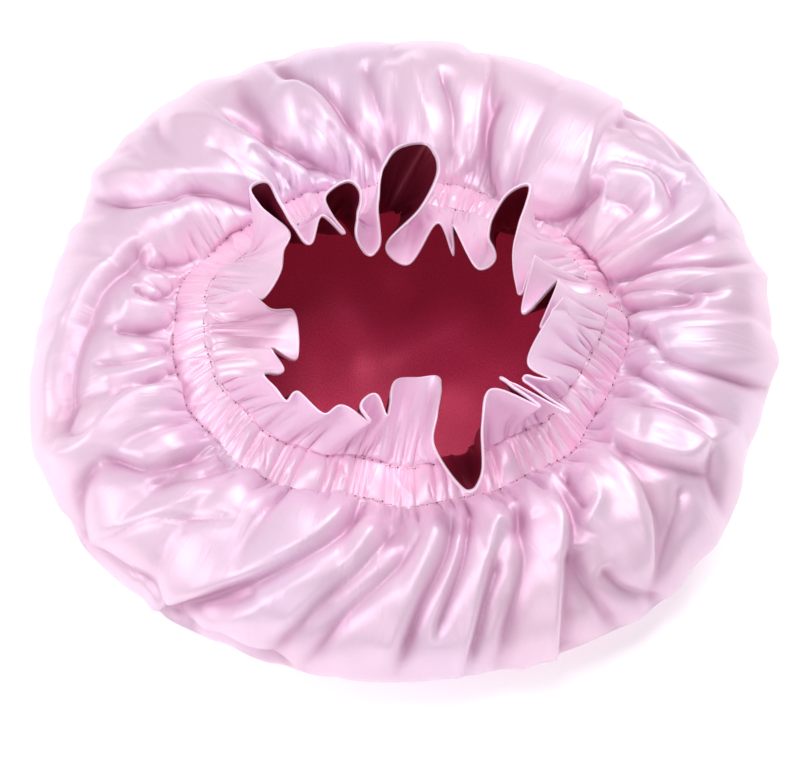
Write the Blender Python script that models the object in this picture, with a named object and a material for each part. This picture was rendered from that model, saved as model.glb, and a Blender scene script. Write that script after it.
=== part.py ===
"""Reversible satin sleep bonnet, lying crown down with its mouth open.

Metres, +Z up, +Y towards the back of the photograph. The bonnet rests on the floor at z = 0.
Every piece is one closed cloth wall, lofted from rings of points that run round the mouth.
"""


import bmesh
import bpy
import numpy as np

# Sizes of the whole bonnet.
RIM_RADIUS = 0.180
RIM_HEIGHT = 0.031
CREST_HEIGHT = 0.073
CREST_SHARE = 0.36
CREST_PLACE = 0.40
TUCK_SHARE = 0.30

# Outer stitch row, an ellipse lying a little nearer the front than the crown's middle.
ROW_HALF_LENGTH = 0.1085
ROW_HALF_WIDTH = 0.0900
ROW_CENTRE = (-0.0035, -0.0160)
ROW_HEIGHT = 0.060

# Elastic casing and the ruffle beyond it.
CASING_WIDTH = 0.021
CASING_PUFF = 0.0024
CASING_LINING_PUFF = 0.0014
CASING_GATHER = 0.0013
ELASTIC_SHARE = 0.74
ELASTIC_THICKNESS = 0.0009
RUFFLE_DEPTH = 0.041
HEM_ROUNDING = 0.007

# Cloth.
CROWN_WALL = 0.0012
CASING_WALL = 0.0010
RUFFLE_WALL = 0.0010
HALF_GAP = 0.00015

# Numbers of columns round the mouth.
CROWN_COLUMNS = 90
LINING_COLUMNS = 40
CASING_COLUMNS = 96
CASING_LINING_COLUMNS = 40
ELASTIC_COLUMNS = 48
RUFFLE_COLUMNS = 136
CASING_GATHERS = 48
SLIMMEST_FOLD = 13

# One row for every 20 degrees round the bonnet.
SECTION_COLUMNS = ("angle_deg", "rim_share", "casing_tilt_deg", "crest_share")
SECTIONS = (
    (0, 1.01, 52, 1.00),
    (20, 1.005, 50, 1.00),
    (40, 0.985, 40, 1.02),
    (60, 0.97, 26, 1.02),
    (80, 0.975, 18, 1.00),
    (100, 0.985, 18, 1.00),
    (120, 1.00, 22, 1.02),
    (140, 1.03, 28, 1.03),
    (160, 0.985, 34, 1.00),
    (180, 1.00, 36, 0.98),
    (200, 1.045, 32, 0.98),
    (220, 1.045, 22, 1.00),
    (240, 1.02, 12, 1.00),
    (260, 1.01, 6, 0.98),
    (280, 1.00, 6, 0.98),
    (300, 1.015, 14, 1.00),
    (320, 1.035, 30, 1.00),
    (340, 0.995, 44, 0.98),
)

# Main folds of the crown. Place 0 is the outer stitch row and place 1 the rim; the side is the
# bow of the fold's line at its middle, and a negative height is a crease.
FOLD_COLUMNS = ("angle_a", "place_a", "angle_b", "place_b", "bow_deg", "width_mm", "height_mm")
FOLDS = (
    (112, 0.02, 134, 0.80, 4, 7, -7),
    (106, 0.05, 128, 0.85, 4, 10, 5),
    (98, 0.03, 118, 0.95, 3, 7, -6),
    (126, 0.10, 153, 0.90, -2, 10, 6),
    (134, 0.10, 158, 0.60, 0, 9, -5),
    (148, 0.25, 152, 0.50, 0, 13, 7),
    (86, 0.10, 88, 0.85, 2, 8, -5),
    (76, 0.10, 72, 0.80, -2, 9, 5),
    (64, 0.05, 60, 0.75, 3, 9, -6),
    (52, 0.10, 44, 0.90, -4, 10, 6),
    (40, 0.10, 36, 0.80, 4, 9, -5),
    (28, 0.05, 24, 0.95, 2, 8, 5),
    (18, 0.03, 14, 0.90, 1, 7, -5),
    (8, 0.05, 6, 0.90, 0, 9, 5),
    (-3, 0.03, -2, 0.85, 0, 8, -4),
    (-16, 0.10, -14, 0.90, 2, 9, 5),
    (-28, 0.05, -24, 0.90, -3, 8, -6),
    (-42, 0.05, -38, 0.95, 2, 9, 6),
    (-54, 0.05, -52, 0.90, 0, 7, -6),
    (-60, 0.05, -62, 0.95, 0, 6, 6),
    (-68, 0.03, -74, 0.80, 0, 7, -7),
    (-76, 0.05, -84, 0.90, 0, 8, 6),
    (-92, 0.03, -114, 0.90, -4, 9, -5),
    (-100, 0.05, -126, 0.95, -4, 10, 6),
    (-106, 0.03, -133, 1.00, -5, 11, -9),
    (-128, 0.25, -150, 0.95, 0, 12, 6),
    (-138, 0.05, -148, 0.60, 0, 8, -5),
    (-155, 0.02, -157, 0.90, 4, 9, 7),
    (-166, 0.10, -160, 0.70, 0, 8, -4),
    (175, 0.62, 196, 0.66, 0, 9, -6),
    (170, 0.85, 198, 0.88, 0, 9, 4),
    (168, 0.05, 160, 0.60, 0, 9, 5),
)

# Hem of the ruffle: each row is one turn of the free edge, as shares of the ruffle's depth from
# its place on the inner stitch row. Along runs counterclockwise, inward towards the mouth.
HEM_COLUMNS = ("angle_deg", "along", "inward", "rise")
HEM = (
    (-69, -0.05, -0.66, 0.72),
    (-66, 0.00, -0.15, 0.98),
    (-62, 0.10, 0.20, 0.97),
    (-52, 0.10, -0.30, 0.93),
    (-48, -0.20, 0.35, 0.90),
    (-41, -0.10, -0.45, 0.78),
    (-36, -0.35, 0.20, 0.88),
    (-30, -0.35, -0.05, 0.82),
    (-22, -0.50, 0.40, 0.72),
    (-10, 0.05, 0.38, 0.92),
    (-5, -0.48, 0.62, 0.60),
    (3, 0.08, 0.54, 0.83),
    (9, -0.18, 0.92, 0.28),
    (18, 0.16, 0.60, 0.77),
    (23, -0.14, 0.90, 0.38),
    (30, 0.08, 0.75, 0.65),
    (37, 0.08, 0.50, 0.86),
    (45, 0.14, -0.08, 0.98),
    (51, 0.06, 0.12, 0.98),
    (54, -0.08, 0.55, 0.82),
    (56, -0.32, 0.72, 0.60),
    (60, -0.26, 0.85, 0.45),
    (70, -0.05, 0.60, 0.70),
    (74, -0.24, 0.84, 0.38),
    (78, -0.12, 0.58, 0.70),
    (83, 0.06, 0.95, 0.28),
    (88, 0.18, 0.85, 0.48),
    (90, -0.28, 0.50, 0.80),
    (92, -0.58, -0.05, 0.80),
    (94, -0.55, -0.55, 0.62),
    (97, -0.22, -0.25, 0.93),
    (100, -0.10, 0.36, 0.92),
    (103, -0.14, 0.80, 0.58),
    (106, -0.09, 0.86, 0.48),
    (109, -0.07, 0.76, 0.64),
    (112, -0.34, 0.30, 0.88),
    (114, -0.32, 0.18, 0.92),
    (119, -0.12, 0.32, 0.93),
    (122, -0.28, 0.70, 0.64),
    (127, -0.24, 0.44, 0.86),
    (134, -0.12, 0.68, 0.72),
    (137, -0.22, 0.15, 0.95),
    (139, -0.34, -0.20, 0.92),
    (143, -0.22, 0.28, 0.92),
    (147, -0.14, 0.60, 0.74),
    (155, -0.12, 0.78, 0.60),
    (163, 0.22, 0.75, 0.60),
    (170, 0.16, 0.52, 0.82),
    (174, 0.20, 0.75, 0.60),
    (178, -0.10, 1.00, 0.10),
    (190, 0.30, 0.95, -0.05),
    (195, 0.40, 0.58, 0.62),
    (202, 0.55, 0.60, 0.55),
    (207, 0.48, 0.25, 0.82),
    (213, 0.52, 0.18, 0.80),
    (219, 0.56, 0.12, 0.78),
    (224, 0.42, 0.25, 0.85),
    (236, 0.46, 0.12, 0.86),
    (240, 0.42, 0.28, 0.85),
    (250, 0.48, 0.08, 0.86),
    (253, 0.20, 0.18, 0.95),
    (256, 0.22, 0.36, 0.90),
    (259, 0.30, 0.05, 0.94),
    (264, 0.16, 0.65, 0.74),
    (272, 0.22, 0.88, 0.52),
    (277, 0.28, 0.86, 0.52),
    (280, 0.08, 0.10, 0.98),
    (282, -0.10, -0.28, 0.95),
    (287, -0.03, -0.80, 0.66),
)

# Colours of the two satins and of the elastic.
PINK = (0.84, 0.62, 0.78, 1.0)
BURGUNDY = (0.30, 0.02, 0.055, 1.0)
ELASTIC_WHITE = (0.80, 0.78, 0.76, 1.0)


def clear_scene():
    """Remove whatever the scene starts with."""
    for item in list(bpy.data.objects):
        bpy.data.objects.remove(item, do_unlink=True)


def section(column, angle):
    """Smooth value of one column of SECTIONS at an angle in radians."""
    values = np.array([row[SECTION_COLUMNS.index(column)] for row in SECTIONS], float)
    count = len(values)
    place = np.mod(np.asarray(angle, float), 2 * np.pi) * count / (2 * np.pi)
    index = np.floor(place).astype(int) % count
    part = place - np.floor(place)
    before = values[(index - 1) % count]
    here = values[index]
    after = values[(index + 1) % count]
    later = values[(index + 2) % count]
    return 0.5 * (
        2 * here
        + (after - before) * part
        + (2 * before - 5 * here + 4 * after - later) * part**2
        + (3 * here - before - 3 * after + later) * part**3
    )


def unit(vectors):
    """Vectors of the last axis, at length one."""
    length = np.linalg.norm(vectors, axis=-1, keepdims=True)
    return vectors / np.maximum(length, 1e-12)


def outer_row(angle):
    """Outer stitch row."""
    angle = np.asarray(angle, float)
    x = ROW_CENTRE[0] + ROW_HALF_LENGTH * np.cos(angle)
    y = ROW_CENTRE[1] + ROW_HALF_WIDTH * np.sin(angle)
    return np.stack([x, y, np.full_like(x, ROW_HEIGHT)], -1)


def row_frame(angle):
    """Unit vectors along the stitch row, across the casing towards the mouth, and off its face."""
    angle = np.asarray(angle, float)
    along = np.stack(
        [-ROW_HALF_LENGTH * np.sin(angle), ROW_HALF_WIDTH * np.cos(angle), 0 * angle], -1
    )
    along = unit(along)
    inward = np.stack([-along[..., 1], along[..., 0], 0 * angle], -1)
    tilt = np.radians(section("casing_tilt_deg", angle))[..., None]
    up = np.array([0.0, 0.0, 1.0])
    across = inward * np.cos(tilt) + up * np.sin(tilt)
    face = up * np.cos(tilt) - inward * np.sin(tilt)
    return along, inward, across, face


def inner_row(angle):
    """Inner stitch row, one casing width from the outer one."""
    across = row_frame(angle)[2]
    return outer_row(angle) + across * CASING_WIDTH


def smooth_step(value):
    """Ease from 0 to 1."""
    value = np.clip(value, 0.0, 1.0)
    return value * value * (3 - 2 * value)


def fold_relief(angle, place):
    """Height of the crown's folds over its mean surface, in metres."""
    degrees = np.degrees(angle)
    relief = np.zeros(np.broadcast(angle, place).shape)
    for row in FOLDS:
        fold = dict(zip(FOLD_COLUMNS, row))
        width = max(fold["width_mm"], SLIMMEST_FOLD)
        share = (place - fold["place_a"]) / (fold["place_b"] - fold["place_a"])
        line_share = np.clip(share, 0.0, 1.0)
        line = fold["angle_a"] + (fold["angle_b"] - fold["angle_a"]) * line_share
        if abs(fold["angle_b"] - fold["angle_a"]) > 15 and fold["place_b"] - fold["place_a"] < 0.1:
            middle = 0.5 * (fold["angle_a"] + fold["angle_b"])
            offset = np.mod(degrees - middle + 180, 360) - 180
            span = abs(fold["angle_b"] - fold["angle_a"]) / 2
            ends = smooth_step(1.4 - np.abs(offset) / span)
            level = 0.5 * (fold["place_a"] + fold["place_b"])
            distance = (place - level) * 85 / width
        else:
            line = line + fold["bow_deg"] * np.sin(np.pi * line_share)
            offset = np.mod(degrees - line + 180, 360) - 180
            radius = 100 + 75 * np.clip(place, 0, 1)
            distance = np.radians(offset) * radius / width
            ends = smooth_step((share + 0.15) / 0.3) * smooth_step((1.2 - share) / 0.35)
        relief = relief + fold["height_mm"] * 0.001 * ends * np.exp(-(distance**2))
    return relief


def gather_relief(angle, place):
    """Small gathers that start at the outer stitch row and fade into the crown."""
    fade = smooth_step(place / 0.05) * (1 - smooth_step((place - 0.12) / 0.35))
    wave = np.sin(26 * angle + 1.5 * np.sin(3 * angle)) + 0.5 * np.sin(41 * angle + 1.0)
    return 0.0016 * fade * wave


def crown_mean(angle, place):
    """Mean outer surface of the crown: place 0 outer stitch row, 1 rim, 2 edge of the base."""
    angle, place = np.broadcast_arrays(np.asarray(angle, float), np.asarray(place, float))
    along, inward, across, face = row_frame(angle)
    start = outer_row(angle) - across * HALF_GAP + face * (HALF_GAP + CROWN_WALL)
    rim_radius = RIM_RADIUS * section("rim_share", angle)
    rim = np.stack([rim_radius * np.cos(angle), rim_radius * np.sin(angle)], -1)
    crest = CREST_HEIGHT * section("crest_share", angle)
    rise = np.clip(place / CREST_PLACE, 0, 1)
    fall = np.clip((place - CREST_PLACE) / (1 - CREST_PLACE), 0, 1) * np.pi / 2
    under = np.clip(place - 1, 0, 1) * np.pi / 2
    spread = CREST_SHARE * rise + (1 - CREST_SHARE) * np.sin(fall)
    plan = start[..., :2] + (rim - start[..., :2]) * spread[..., None]
    plan = np.where((place > 1)[..., None], rim * (1 - TUCK_SHARE * (1 - np.cos(under)))[..., None], plan)
    near = start[..., 2] + (crest - start[..., 2]) * np.sin(rise * np.pi / 2)
    far = RIM_HEIGHT + (crest - RIM_HEIGHT) * np.cos(fall)
    height = np.where(place < CREST_PLACE, near, far)
    height = np.where(place > 1, RIM_HEIGHT * (1 - np.sin(under)), height)
    return np.concatenate([plan, height[..., None]], -1)


def grid_normals(points, outward_rows=True):
    """Normals of a closed grid, up and out; its rows run away from the mouth or towards it."""
    along = np.roll(points, -1, axis=1) - np.roll(points, 1, axis=1)
    down = np.gradient(points, axis=0)
    normal = unit(np.cross(along, down))
    return -normal if outward_rows else normal


def crown_surface(angle, place):
    """Outer face of the crown with its folds."""
    base = crown_mean(angle, place)
    normal = grid_normals(base)
    fade = 1 - smooth_step((place - 0.9) / 0.35)
    relief = (fold_relief(angle, place) + gather_relief(angle, place)) * fade
    relief = relief * smooth_step(place / 0.10)
    return base + normal * relief[..., None]


def lining_surface(angle, place):
    """Face of the crown lining that looks into the bonnet's hollow, seen from its cloth side."""
    profile = np.array(
        [
            (0.00, 0.00, 1.00),
            (0.16, 0.10, 0.90),
            (0.34, 0.34, 0.82),
            (0.52, 0.62, 0.70),
            (0.70, 0.78, 0.48),
            (0.84, 0.66, 0.22),
            (1.00, 0.24, 0.08),
        ]
    )
    angle, place = np.broadcast_arrays(np.asarray(angle, float), np.asarray(place, float))
    along, inward, across, face = row_frame(angle)
    start = outer_row(angle) - across * HALF_GAP - face * HALF_GAP
    rim_radius = RIM_RADIUS * section("rim_share", angle)
    rim = np.stack([rim_radius * np.cos(angle), rim_radius * np.sin(angle)], -1)
    spread = np.interp(place, profile[:, 0], profile[:, 1])
    height = np.interp(place, profile[:, 0], profile[:, 2]) * start[..., 2]
    plan = start[..., :2] + (rim - start[..., :2]) * spread[..., None]
    return np.concatenate([plan, height[..., None]], -1)


def triangles_between(first, second, count, flip):
    """Triangles between two rings of vertex numbers."""
    faces = []
    for i in range(count):
        j = (i + 1) % count
        pair = [
            (first + i, first + j, second + j),
            (first + i, second + j, second + i),
        ]
        faces += [face[::-1] for face in pair] if flip else pair
    return faces


def add_wall(name, outside, inside, material, outside_centre=None, inside_centre=None):
    """Build one closed cloth wall from its two faces, each rows by columns by three."""
    rows, columns = outside.shape[:2]
    points = [tuple(p) for p in outside.reshape(-1, 3)]
    points += [tuple(p) for p in inside.reshape(-1, 3)]
    shift = rows * columns
    faces = []
    for r in range(rows - 1):
        faces += triangles_between(r * columns, (r + 1) * columns, columns, False)
        faces += triangles_between(shift + r * columns, shift + (r + 1) * columns, columns, True)
    faces += triangles_between(shift, 0, columns, False)
    last = (rows - 1) * columns
    if outside_centre is None:
        faces += triangles_between(last, shift + last, columns, False)
    else:
        points.append(tuple(outside_centre))
        points.append(tuple(inside_centre))
        for i in range(columns):
            j = (i + 1) % columns
            faces.append((last + i, last + j, 2 * shift))
            faces.append((shift + last + j, shift + last + i, 2 * shift + 1))
    mesh = bpy.data.meshes.new(name)
    shape = bmesh.new()
    verts = [shape.verts.new(p) for p in points]
    shape.verts.ensure_lookup_table()
    for a, b, c in faces:
        shape.faces.new((verts[a], verts[b], verts[c]))
    if shape.calc_volume(signed=True) < 0:
        bmesh.ops.reverse_faces(shape, faces=shape.faces[:])
    shape.to_mesh(mesh)
    shape.free()
    item = bpy.data.objects.new(name, mesh)
    bpy.context.scene.collection.objects.link(item)
    mesh.materials.append(material)
    return item


def satin(name, colour, roughness):
    """Plain material for one piece."""
    material = bpy.data.materials.new(name)
    material.use_nodes = True
    shader = material.node_tree.nodes["Principled BSDF"]
    shader.inputs["Base Color"].default_value = colour
    shader.inputs["Roughness"].default_value = roughness
    return material


def angles(count):
    """Angles of evenly spread columns, in radians."""
    return np.arange(count) * 2 * np.pi / count


def build_crown_shell():
    """Pink outer cloth of the crown, from the outer stitch row round the rim to the base."""
    places = np.array([0.0, 0.07, 0.16, 0.30, 0.46, 0.62, 0.80, 1.0, 1.45, 2.0])
    angle, place = np.meshgrid(angles(CROWN_COLUMNS), places)
    outside = crown_surface(angle, place)
    normal = grid_normals(outside)
    face = row_frame(angle[0])[3]
    normal[0] = face
    normal[-1] = (0.0, 0.0, -1.0)
    inside = outside - normal * CROWN_WALL
    outside[-1, :, 2] = 0.0
    inside[-1, :, 2] = CROWN_WALL
    material = satin("pink_satin_crown", PINK, 0.35)
    add_wall("crown_shell", outside, inside, material, (0, 0, 0), (0, 0, CROWN_WALL))


def build_crown_lining():
    """Burgundy inner cloth of the crown, smooth, with the floor that shows through the mouth."""
    places = np.array([0.0, 0.16, 0.34, 0.52, 0.70, 0.84, 0.92, 1.0])
    angle, place = np.meshgrid(angles(LINING_COLUMNS), places)
    outside = lining_surface(angle, place)
    normal = grid_normals(outside)
    normal[0] = row_frame(angle[0])[3]
    inside = outside - normal * CROWN_WALL
    centre = outside[-1].mean(axis=0)
    centre[2] = outside[-1, :, 2].mean()
    material = satin("burgundy_satin_crown", BURGUNDY, 0.35)
    inner_centre = centre + np.array([0.0, 0.0, CROWN_WALL])
    add_wall("crown_lining", outside, inside, material, centre, inner_centre)


def casing_faces(columns, puff, gather, side):
    """Two faces of one casing strip; side +1 is the pink top, -1 the burgundy underside."""
    shares = np.array([0.0, 0.28, 0.72, 1.0])
    angle, share = np.meshgrid(angles(columns), shares)
    along, inward, across, face = row_frame(angle)
    line = outer_row(angle) + across * (HALF_GAP + share * (CASING_WIDTH - 2 * HALF_GAP))[..., None]
    bulge = np.sin(np.pi * share) ** 0.7
    wave = 0.5 + 0.5 * np.cos(CASING_GATHERS * angle)
    lift = HALF_GAP + bulge * (puff + gather * wave)
    inner = line + face * (side * lift)[..., None]
    outer = line + face * (side * (lift + CASING_WALL))[..., None]
    return outer, inner


def build_casing():
    """Gathered pink and burgundy strips of the casing, and the elastic between them."""
    outer, inner = casing_faces(CASING_COLUMNS, CASING_PUFF, CASING_GATHER, 1)
    add_wall("casing_shell", inner, outer, satin("pink_satin_casing", PINK, 0.4))
    outer, inner = casing_faces(CASING_LINING_COLUMNS, CASING_LINING_PUFF, 0.0, -1)
    add_wall("casing_lining", outer, inner, satin("burgundy_satin_casing", BURGUNDY, 0.4))
    shares = np.array([0.5 - ELASTIC_SHARE / 2, 0.5 + ELASTIC_SHARE / 2])
    angle, share = np.meshgrid(angles(ELASTIC_COLUMNS), shares)
    across, face = row_frame(angle)[2:]
    line = outer_row(angle) + across * (share * CASING_WIDTH)[..., None] + face * 0.0003
    top = line + face * ELASTIC_THICKNESS / 2
    bottom = line - face * ELASTIC_THICKNESS / 2
    add_wall("elastic_band", bottom, top, satin("woven_elastic", ELASTIC_WHITE, 0.8))


def hem_curve(count):
    """Free edge of the ruffle at evenly spread columns, with each column's angle on the row."""
    rows = np.array(HEM, float)
    angle = np.radians(rows[:, 0])
    along, inward = row_frame(angle)[:2]
    base = inner_row(angle)
    up = np.array([0.0, 0.0, 1.0])
    points = base + RUFFLE_DEPTH * (
        along * rows[:, 1:2] + inward * rows[:, 2:3] + up * rows[:, 3:4]
    )
    total = len(rows)
    fine = 16
    curve = []
    turn = []
    for i in range(total):
        four = [points[(i + k - 1) % total] for k in range(4)]
        knots = [0.0]
        for k in range(3):
            knots.append(knots[-1] + np.linalg.norm(four[k + 1] - four[k]) ** 0.5)
        for k in range(fine):
            t = knots[1] + (knots[2] - knots[1]) * k / fine
            level = list(four)
            for step in (1, 2, 3):
                level = [
                    level[m] * (knots[m + step] - t) / (knots[m + step] - knots[m])
                    + level[m + 1] * (t - knots[m]) / (knots[m + step] - knots[m])
                    for m in range(4 - step)
                ] if step == 1 else blend(level, knots, t, step)
            curve.append(level[0])
            following = angle[(i + 1) % total] + (2 * np.pi if i == total - 1 else 0)
            turn.append(angle[i] + (following - angle[i]) * k / fine)
    curve.append(curve[0])
    turn.append(turn[0] + 2 * np.pi)
    curve = np.array(curve)
    turn = np.array(turn)
    length = np.concatenate([[0], np.cumsum(np.linalg.norm(np.diff(curve, axis=0), axis=1))])
    step = length[-1] / 720
    dense = np.arange(720) * step
    curve = np.stack([np.interp(dense, length, curve[:, k]) for k in range(3)], -1)
    turn = np.interp(dense, length, turn)
    curve = round_off(curve, int(HEM_ROUNDING / step))
    drift = turn - np.arange(720) * 2 * np.pi / 720
    turn = np.arange(720) * 2 * np.pi / 720 + round_off(drift[:, None], 9)[:, 0]
    curve = np.concatenate([curve, curve[:1]])
    turn = np.append(turn, turn[0] + 2 * np.pi)
    length = np.concatenate([[0], np.cumsum(np.linalg.norm(np.diff(curve, axis=0), axis=1))])
    even = np.arange(count) * length[-1] / count
    hem = np.stack([np.interp(even, length, curve[:, k]) for k in range(3)], -1)
    return hem, np.interp(even, length, turn)


def round_off(values, reach):
    """Running mean along a closed curve, which rounds its tightest turns."""
    kernel = np.hanning(2 * reach + 3)[1:-1]
    kernel = kernel / kernel.sum()
    wrapped = np.concatenate([values[-reach:], values, values[:reach]])
    return np.stack(
        [np.convolve(wrapped[:, k], kernel, "valid") for k in range(values.shape[1])], -1
    )


def blend(level, knots, t, step):
    """One later step of the centripetal spline."""
    if step == 2:
        spans = ((0, 2), (1, 3))
    else:
        spans = ((1, 2),)
    return [
        level[m] * (knots[b] - t) / (knots[b] - knots[a])
        + level[m + 1] * (t - knots[a]) / (knots[b] - knots[a])
        for m, (a, b) in enumerate(spans)
    ]


def ruffle_middle(count, shares):
    """Middle surface of the ruffle, rows from the inner stitch row to the hem."""
    hem, turn = hem_curve(count)
    along, inward, across, face = row_frame(turn)
    base = inner_row(turn) + across * HALF_GAP
    leaning = hem - base
    kernel = np.hanning(15)
    kernel = kernel / kernel.sum()
    wrapped = np.concatenate([leaning[-7:], leaning, leaning[:7]])
    mean = np.stack([np.convolve(wrapped[:, k], kernel, "valid") for k in range(3)], -1)
    rows = []
    first = base + unit(across + 1.2 * unit(mean)) * RUFFLE_DEPTH * 0.30
    second = base + (hem - base) * 0.70 + unit(mean) * RUFFLE_DEPTH * 0.05
    for v in shares:
        w = 1 - v
        rows.append(base * w**3 + first * 3 * v * w**2 + second * 3 * v**2 * w + hem * v**3)
    return np.array(rows), face


def build_ruffle():
    """Two cloth layers of the ruffle, pink outside and burgundy towards the mouth."""
    shares = np.array([0.0, 0.30, 0.65, 1.0])
    middle, face = ruffle_middle(RUFFLE_COLUMNS, shares)
    normal = grid_normals(middle, outward_rows=False)
    normal[0] = face
    near = middle + normal * HALF_GAP
    far = middle + normal * (HALF_GAP + RUFFLE_WALL)
    add_wall("ruffle_shell", near, far, satin("pink_satin_ruffle", PINK, 0.35))
    near = middle - normal * HALF_GAP
    far = middle - normal * (HALF_GAP + RUFFLE_WALL)
    add_wall("ruffle_lining", far, near, satin("burgundy_satin_ruffle", BURGUNDY, 0.35))


def main():
    """Build the bonnet piece by piece."""
    clear_scene()
    build_crown_shell()
    build_crown_lining()
    build_casing()
    build_ruffle()


if __name__ == "__main__":
    main()
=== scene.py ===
"""Reversible satin sleep bonnet lying crown down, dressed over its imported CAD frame.

Metres, +Z up, +Y away from the camera. Every cloth piece starts as a plain grid whose vertices are
moved onto the bonnet's named curves: two stitch rows round the mouth, the rim of the puffed crown
and the free hem of the ruffle.
"""

from __future__ import annotations

import logging
from dataclasses import dataclass, field, replace
from enum import Enum

import bmesh
import bpy
import numpy as np
from mathutils import Matrix
from mathutils.kdtree import KDTree

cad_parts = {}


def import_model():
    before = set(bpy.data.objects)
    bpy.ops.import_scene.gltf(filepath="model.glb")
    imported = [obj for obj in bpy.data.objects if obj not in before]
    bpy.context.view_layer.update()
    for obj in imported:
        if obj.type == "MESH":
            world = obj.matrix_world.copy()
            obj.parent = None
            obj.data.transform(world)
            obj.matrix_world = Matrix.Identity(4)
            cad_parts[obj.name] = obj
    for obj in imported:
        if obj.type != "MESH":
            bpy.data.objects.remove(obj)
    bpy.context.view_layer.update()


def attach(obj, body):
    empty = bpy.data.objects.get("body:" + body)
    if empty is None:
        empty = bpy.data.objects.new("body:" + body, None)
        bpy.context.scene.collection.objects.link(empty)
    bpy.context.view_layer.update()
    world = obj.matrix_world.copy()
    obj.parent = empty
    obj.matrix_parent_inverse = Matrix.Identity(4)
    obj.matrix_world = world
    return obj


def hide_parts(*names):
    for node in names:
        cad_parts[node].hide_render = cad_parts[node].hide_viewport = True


LOG = logging.getLogger("sleep_bonnet")
UP = np.array([0.0, 0.0, 1.0])


class Fold(Enum):
    """Shape of a fold's cross-section."""

    RIDGE = "rounded crest"
    CREASE = "sharp valley"
    TUCK = "cloth high on the right of the line, dropping to a valley on its left"
    DOME = "round swelling"


# One row for every 20 degrees round the bonnet.
SECTION_COLUMNS = ("angle_deg", "rim_share", "casing_tilt_deg", "crest_share", "bunching")
SECTIONS = (
    (0, 1.01, 52, 1.00, 1.3),
    (20, 1.005, 50, 1.00, 1.35),
    (40, 0.985, 40, 1.02, 1.2),
    (60, 0.97, 26, 1.02, 1.0),
    (80, 0.975, 18, 1.00, 0.8),
    (100, 0.985, 18, 1.00, 0.8),
    (120, 1.00, 22, 1.02, 0.9),
    (140, 1.03, 28, 1.03, 0.4),
    (160, 0.985, 34, 1.00, 0.35),
    (180, 1.00, 36, 0.98, 0.45),
    (200, 1.045, 32, 0.98, 0.5),
    (220, 1.045, 22, 1.00, 0.9),
    (240, 1.02, 12, 1.00, 1.1),
    (260, 1.01, 6, 0.98, 0.7),
    (280, 1.00, 6, 0.98, 0.8),
    (300, 1.015, 14, 1.00, 1.0),
    (320, 1.035, 30, 1.00, 1.2),
    (340, 0.995, 44, 0.98, 1.3),
)

# Free edge of the ruffle, as shares of its depth from its place on the inner stitch row.
HEM_COLUMNS = ("angle_deg", "along", "inward", "rise")
HEM = (
    (-69, -0.05, -0.66, 0.72),
    (-66, 0.00, -0.15, 0.98),
    (-62, 0.10, 0.20, 0.97),
    (-52, 0.10, -0.30, 0.93),
    (-48, -0.20, 0.35, 0.90),
    (-41, -0.10, -0.45, 0.78),
    (-36, -0.35, 0.20, 0.88),
    (-30, -0.35, -0.05, 0.82),
    (-22, -0.50, 0.40, 0.72),
    (-10, 0.05, 0.38, 0.92),
    (-5, -0.34, 0.66, 0.60),
    (3, 0.00, 0.54, 0.83),
    (9, -0.18, 0.92, 0.28),
    (18, 0.16, 0.60, 0.77),
    (23, -0.14, 0.90, 0.38),
    (30, 0.08, 0.75, 0.65),
    (37, 0.08, 0.50, 0.86),
    (45, 0.14, -0.08, 0.98),
    (51, 0.06, 0.12, 0.98),
    (54, -0.08, 0.55, 0.82),
    (56, -0.32, 0.72, 0.60),
    (60, -0.26, 0.85, 0.45),
    (70, -0.05, 0.60, 0.70),
    (74, -0.24, 0.84, 0.38),
    (78, -0.12, 0.58, 0.70),
    (83, 0.06, 0.95, 0.28),
    (88, 0.18, 0.85, 0.48),
    (90, -0.28, 0.50, 0.80),
    (92, -0.58, -0.05, 0.80),
    (94, -0.55, -0.55, 0.62),
    (97, -0.22, -0.25, 0.93),
    (100, -0.10, 0.36, 0.92),
    (103, -0.14, 0.80, 0.58),
    (106, -0.09, 0.86, 0.48),
    (109, -0.07, 0.76, 0.64),
    (112, -0.34, 0.30, 0.88),
    (114, -0.32, 0.18, 0.92),
    (119, -0.12, 0.32, 0.93),
    (122, -0.28, 0.70, 0.64),
    (127, -0.24, 0.44, 0.86),
    (134, -0.12, 0.68, 0.72),
    (137, -0.22, 0.15, 0.95),
    (138.5, -0.36, -0.18, 0.93),
    (140, -0.22, -0.24, 0.90),
    (142, -0.22, 0.03, 0.82),
    (144, -0.285, 0.485, 0.72),
    (147, -0.14, 0.60, 0.74),
    (155, -0.12, 0.78, 0.60),
    (163, 0.22, 0.75, 0.60),
    (170, 0.16, 0.52, 0.82),
    (174, 0.20, 0.75, 0.60),
    (178, -0.10, 1.00, 0.10),
    (190, 0.30, 0.95, -0.05),
    (195, 0.40, 0.58, 0.62),
    (202, 0.55, 0.60, 0.55),
    (207, 0.48, 0.25, 0.82),
    (213, 0.52, 0.18, 0.80),
    (219, 0.56, 0.12, 0.78),
    (224, 0.42, 0.25, 0.85),
    (236, 0.46, 0.12, 0.86),
    (240, 0.42, 0.28, 0.85),
    (250, 0.48, 0.08, 0.86),
    (253, 0.20, 0.18, 0.95),
    (256, 0.22, 0.36, 0.90),
    (259, 0.30, 0.05, 0.94),
    (264, 0.16, 0.65, 0.74),
    (272, 0.22, 0.88, 0.52),
    (277, 0.28, 0.86, 0.52),
    (280, 0.08, 0.10, 0.98),
    (282, -0.10, -0.28, 0.95),
    (287, -0.03, -0.80, 0.66),
)

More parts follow.
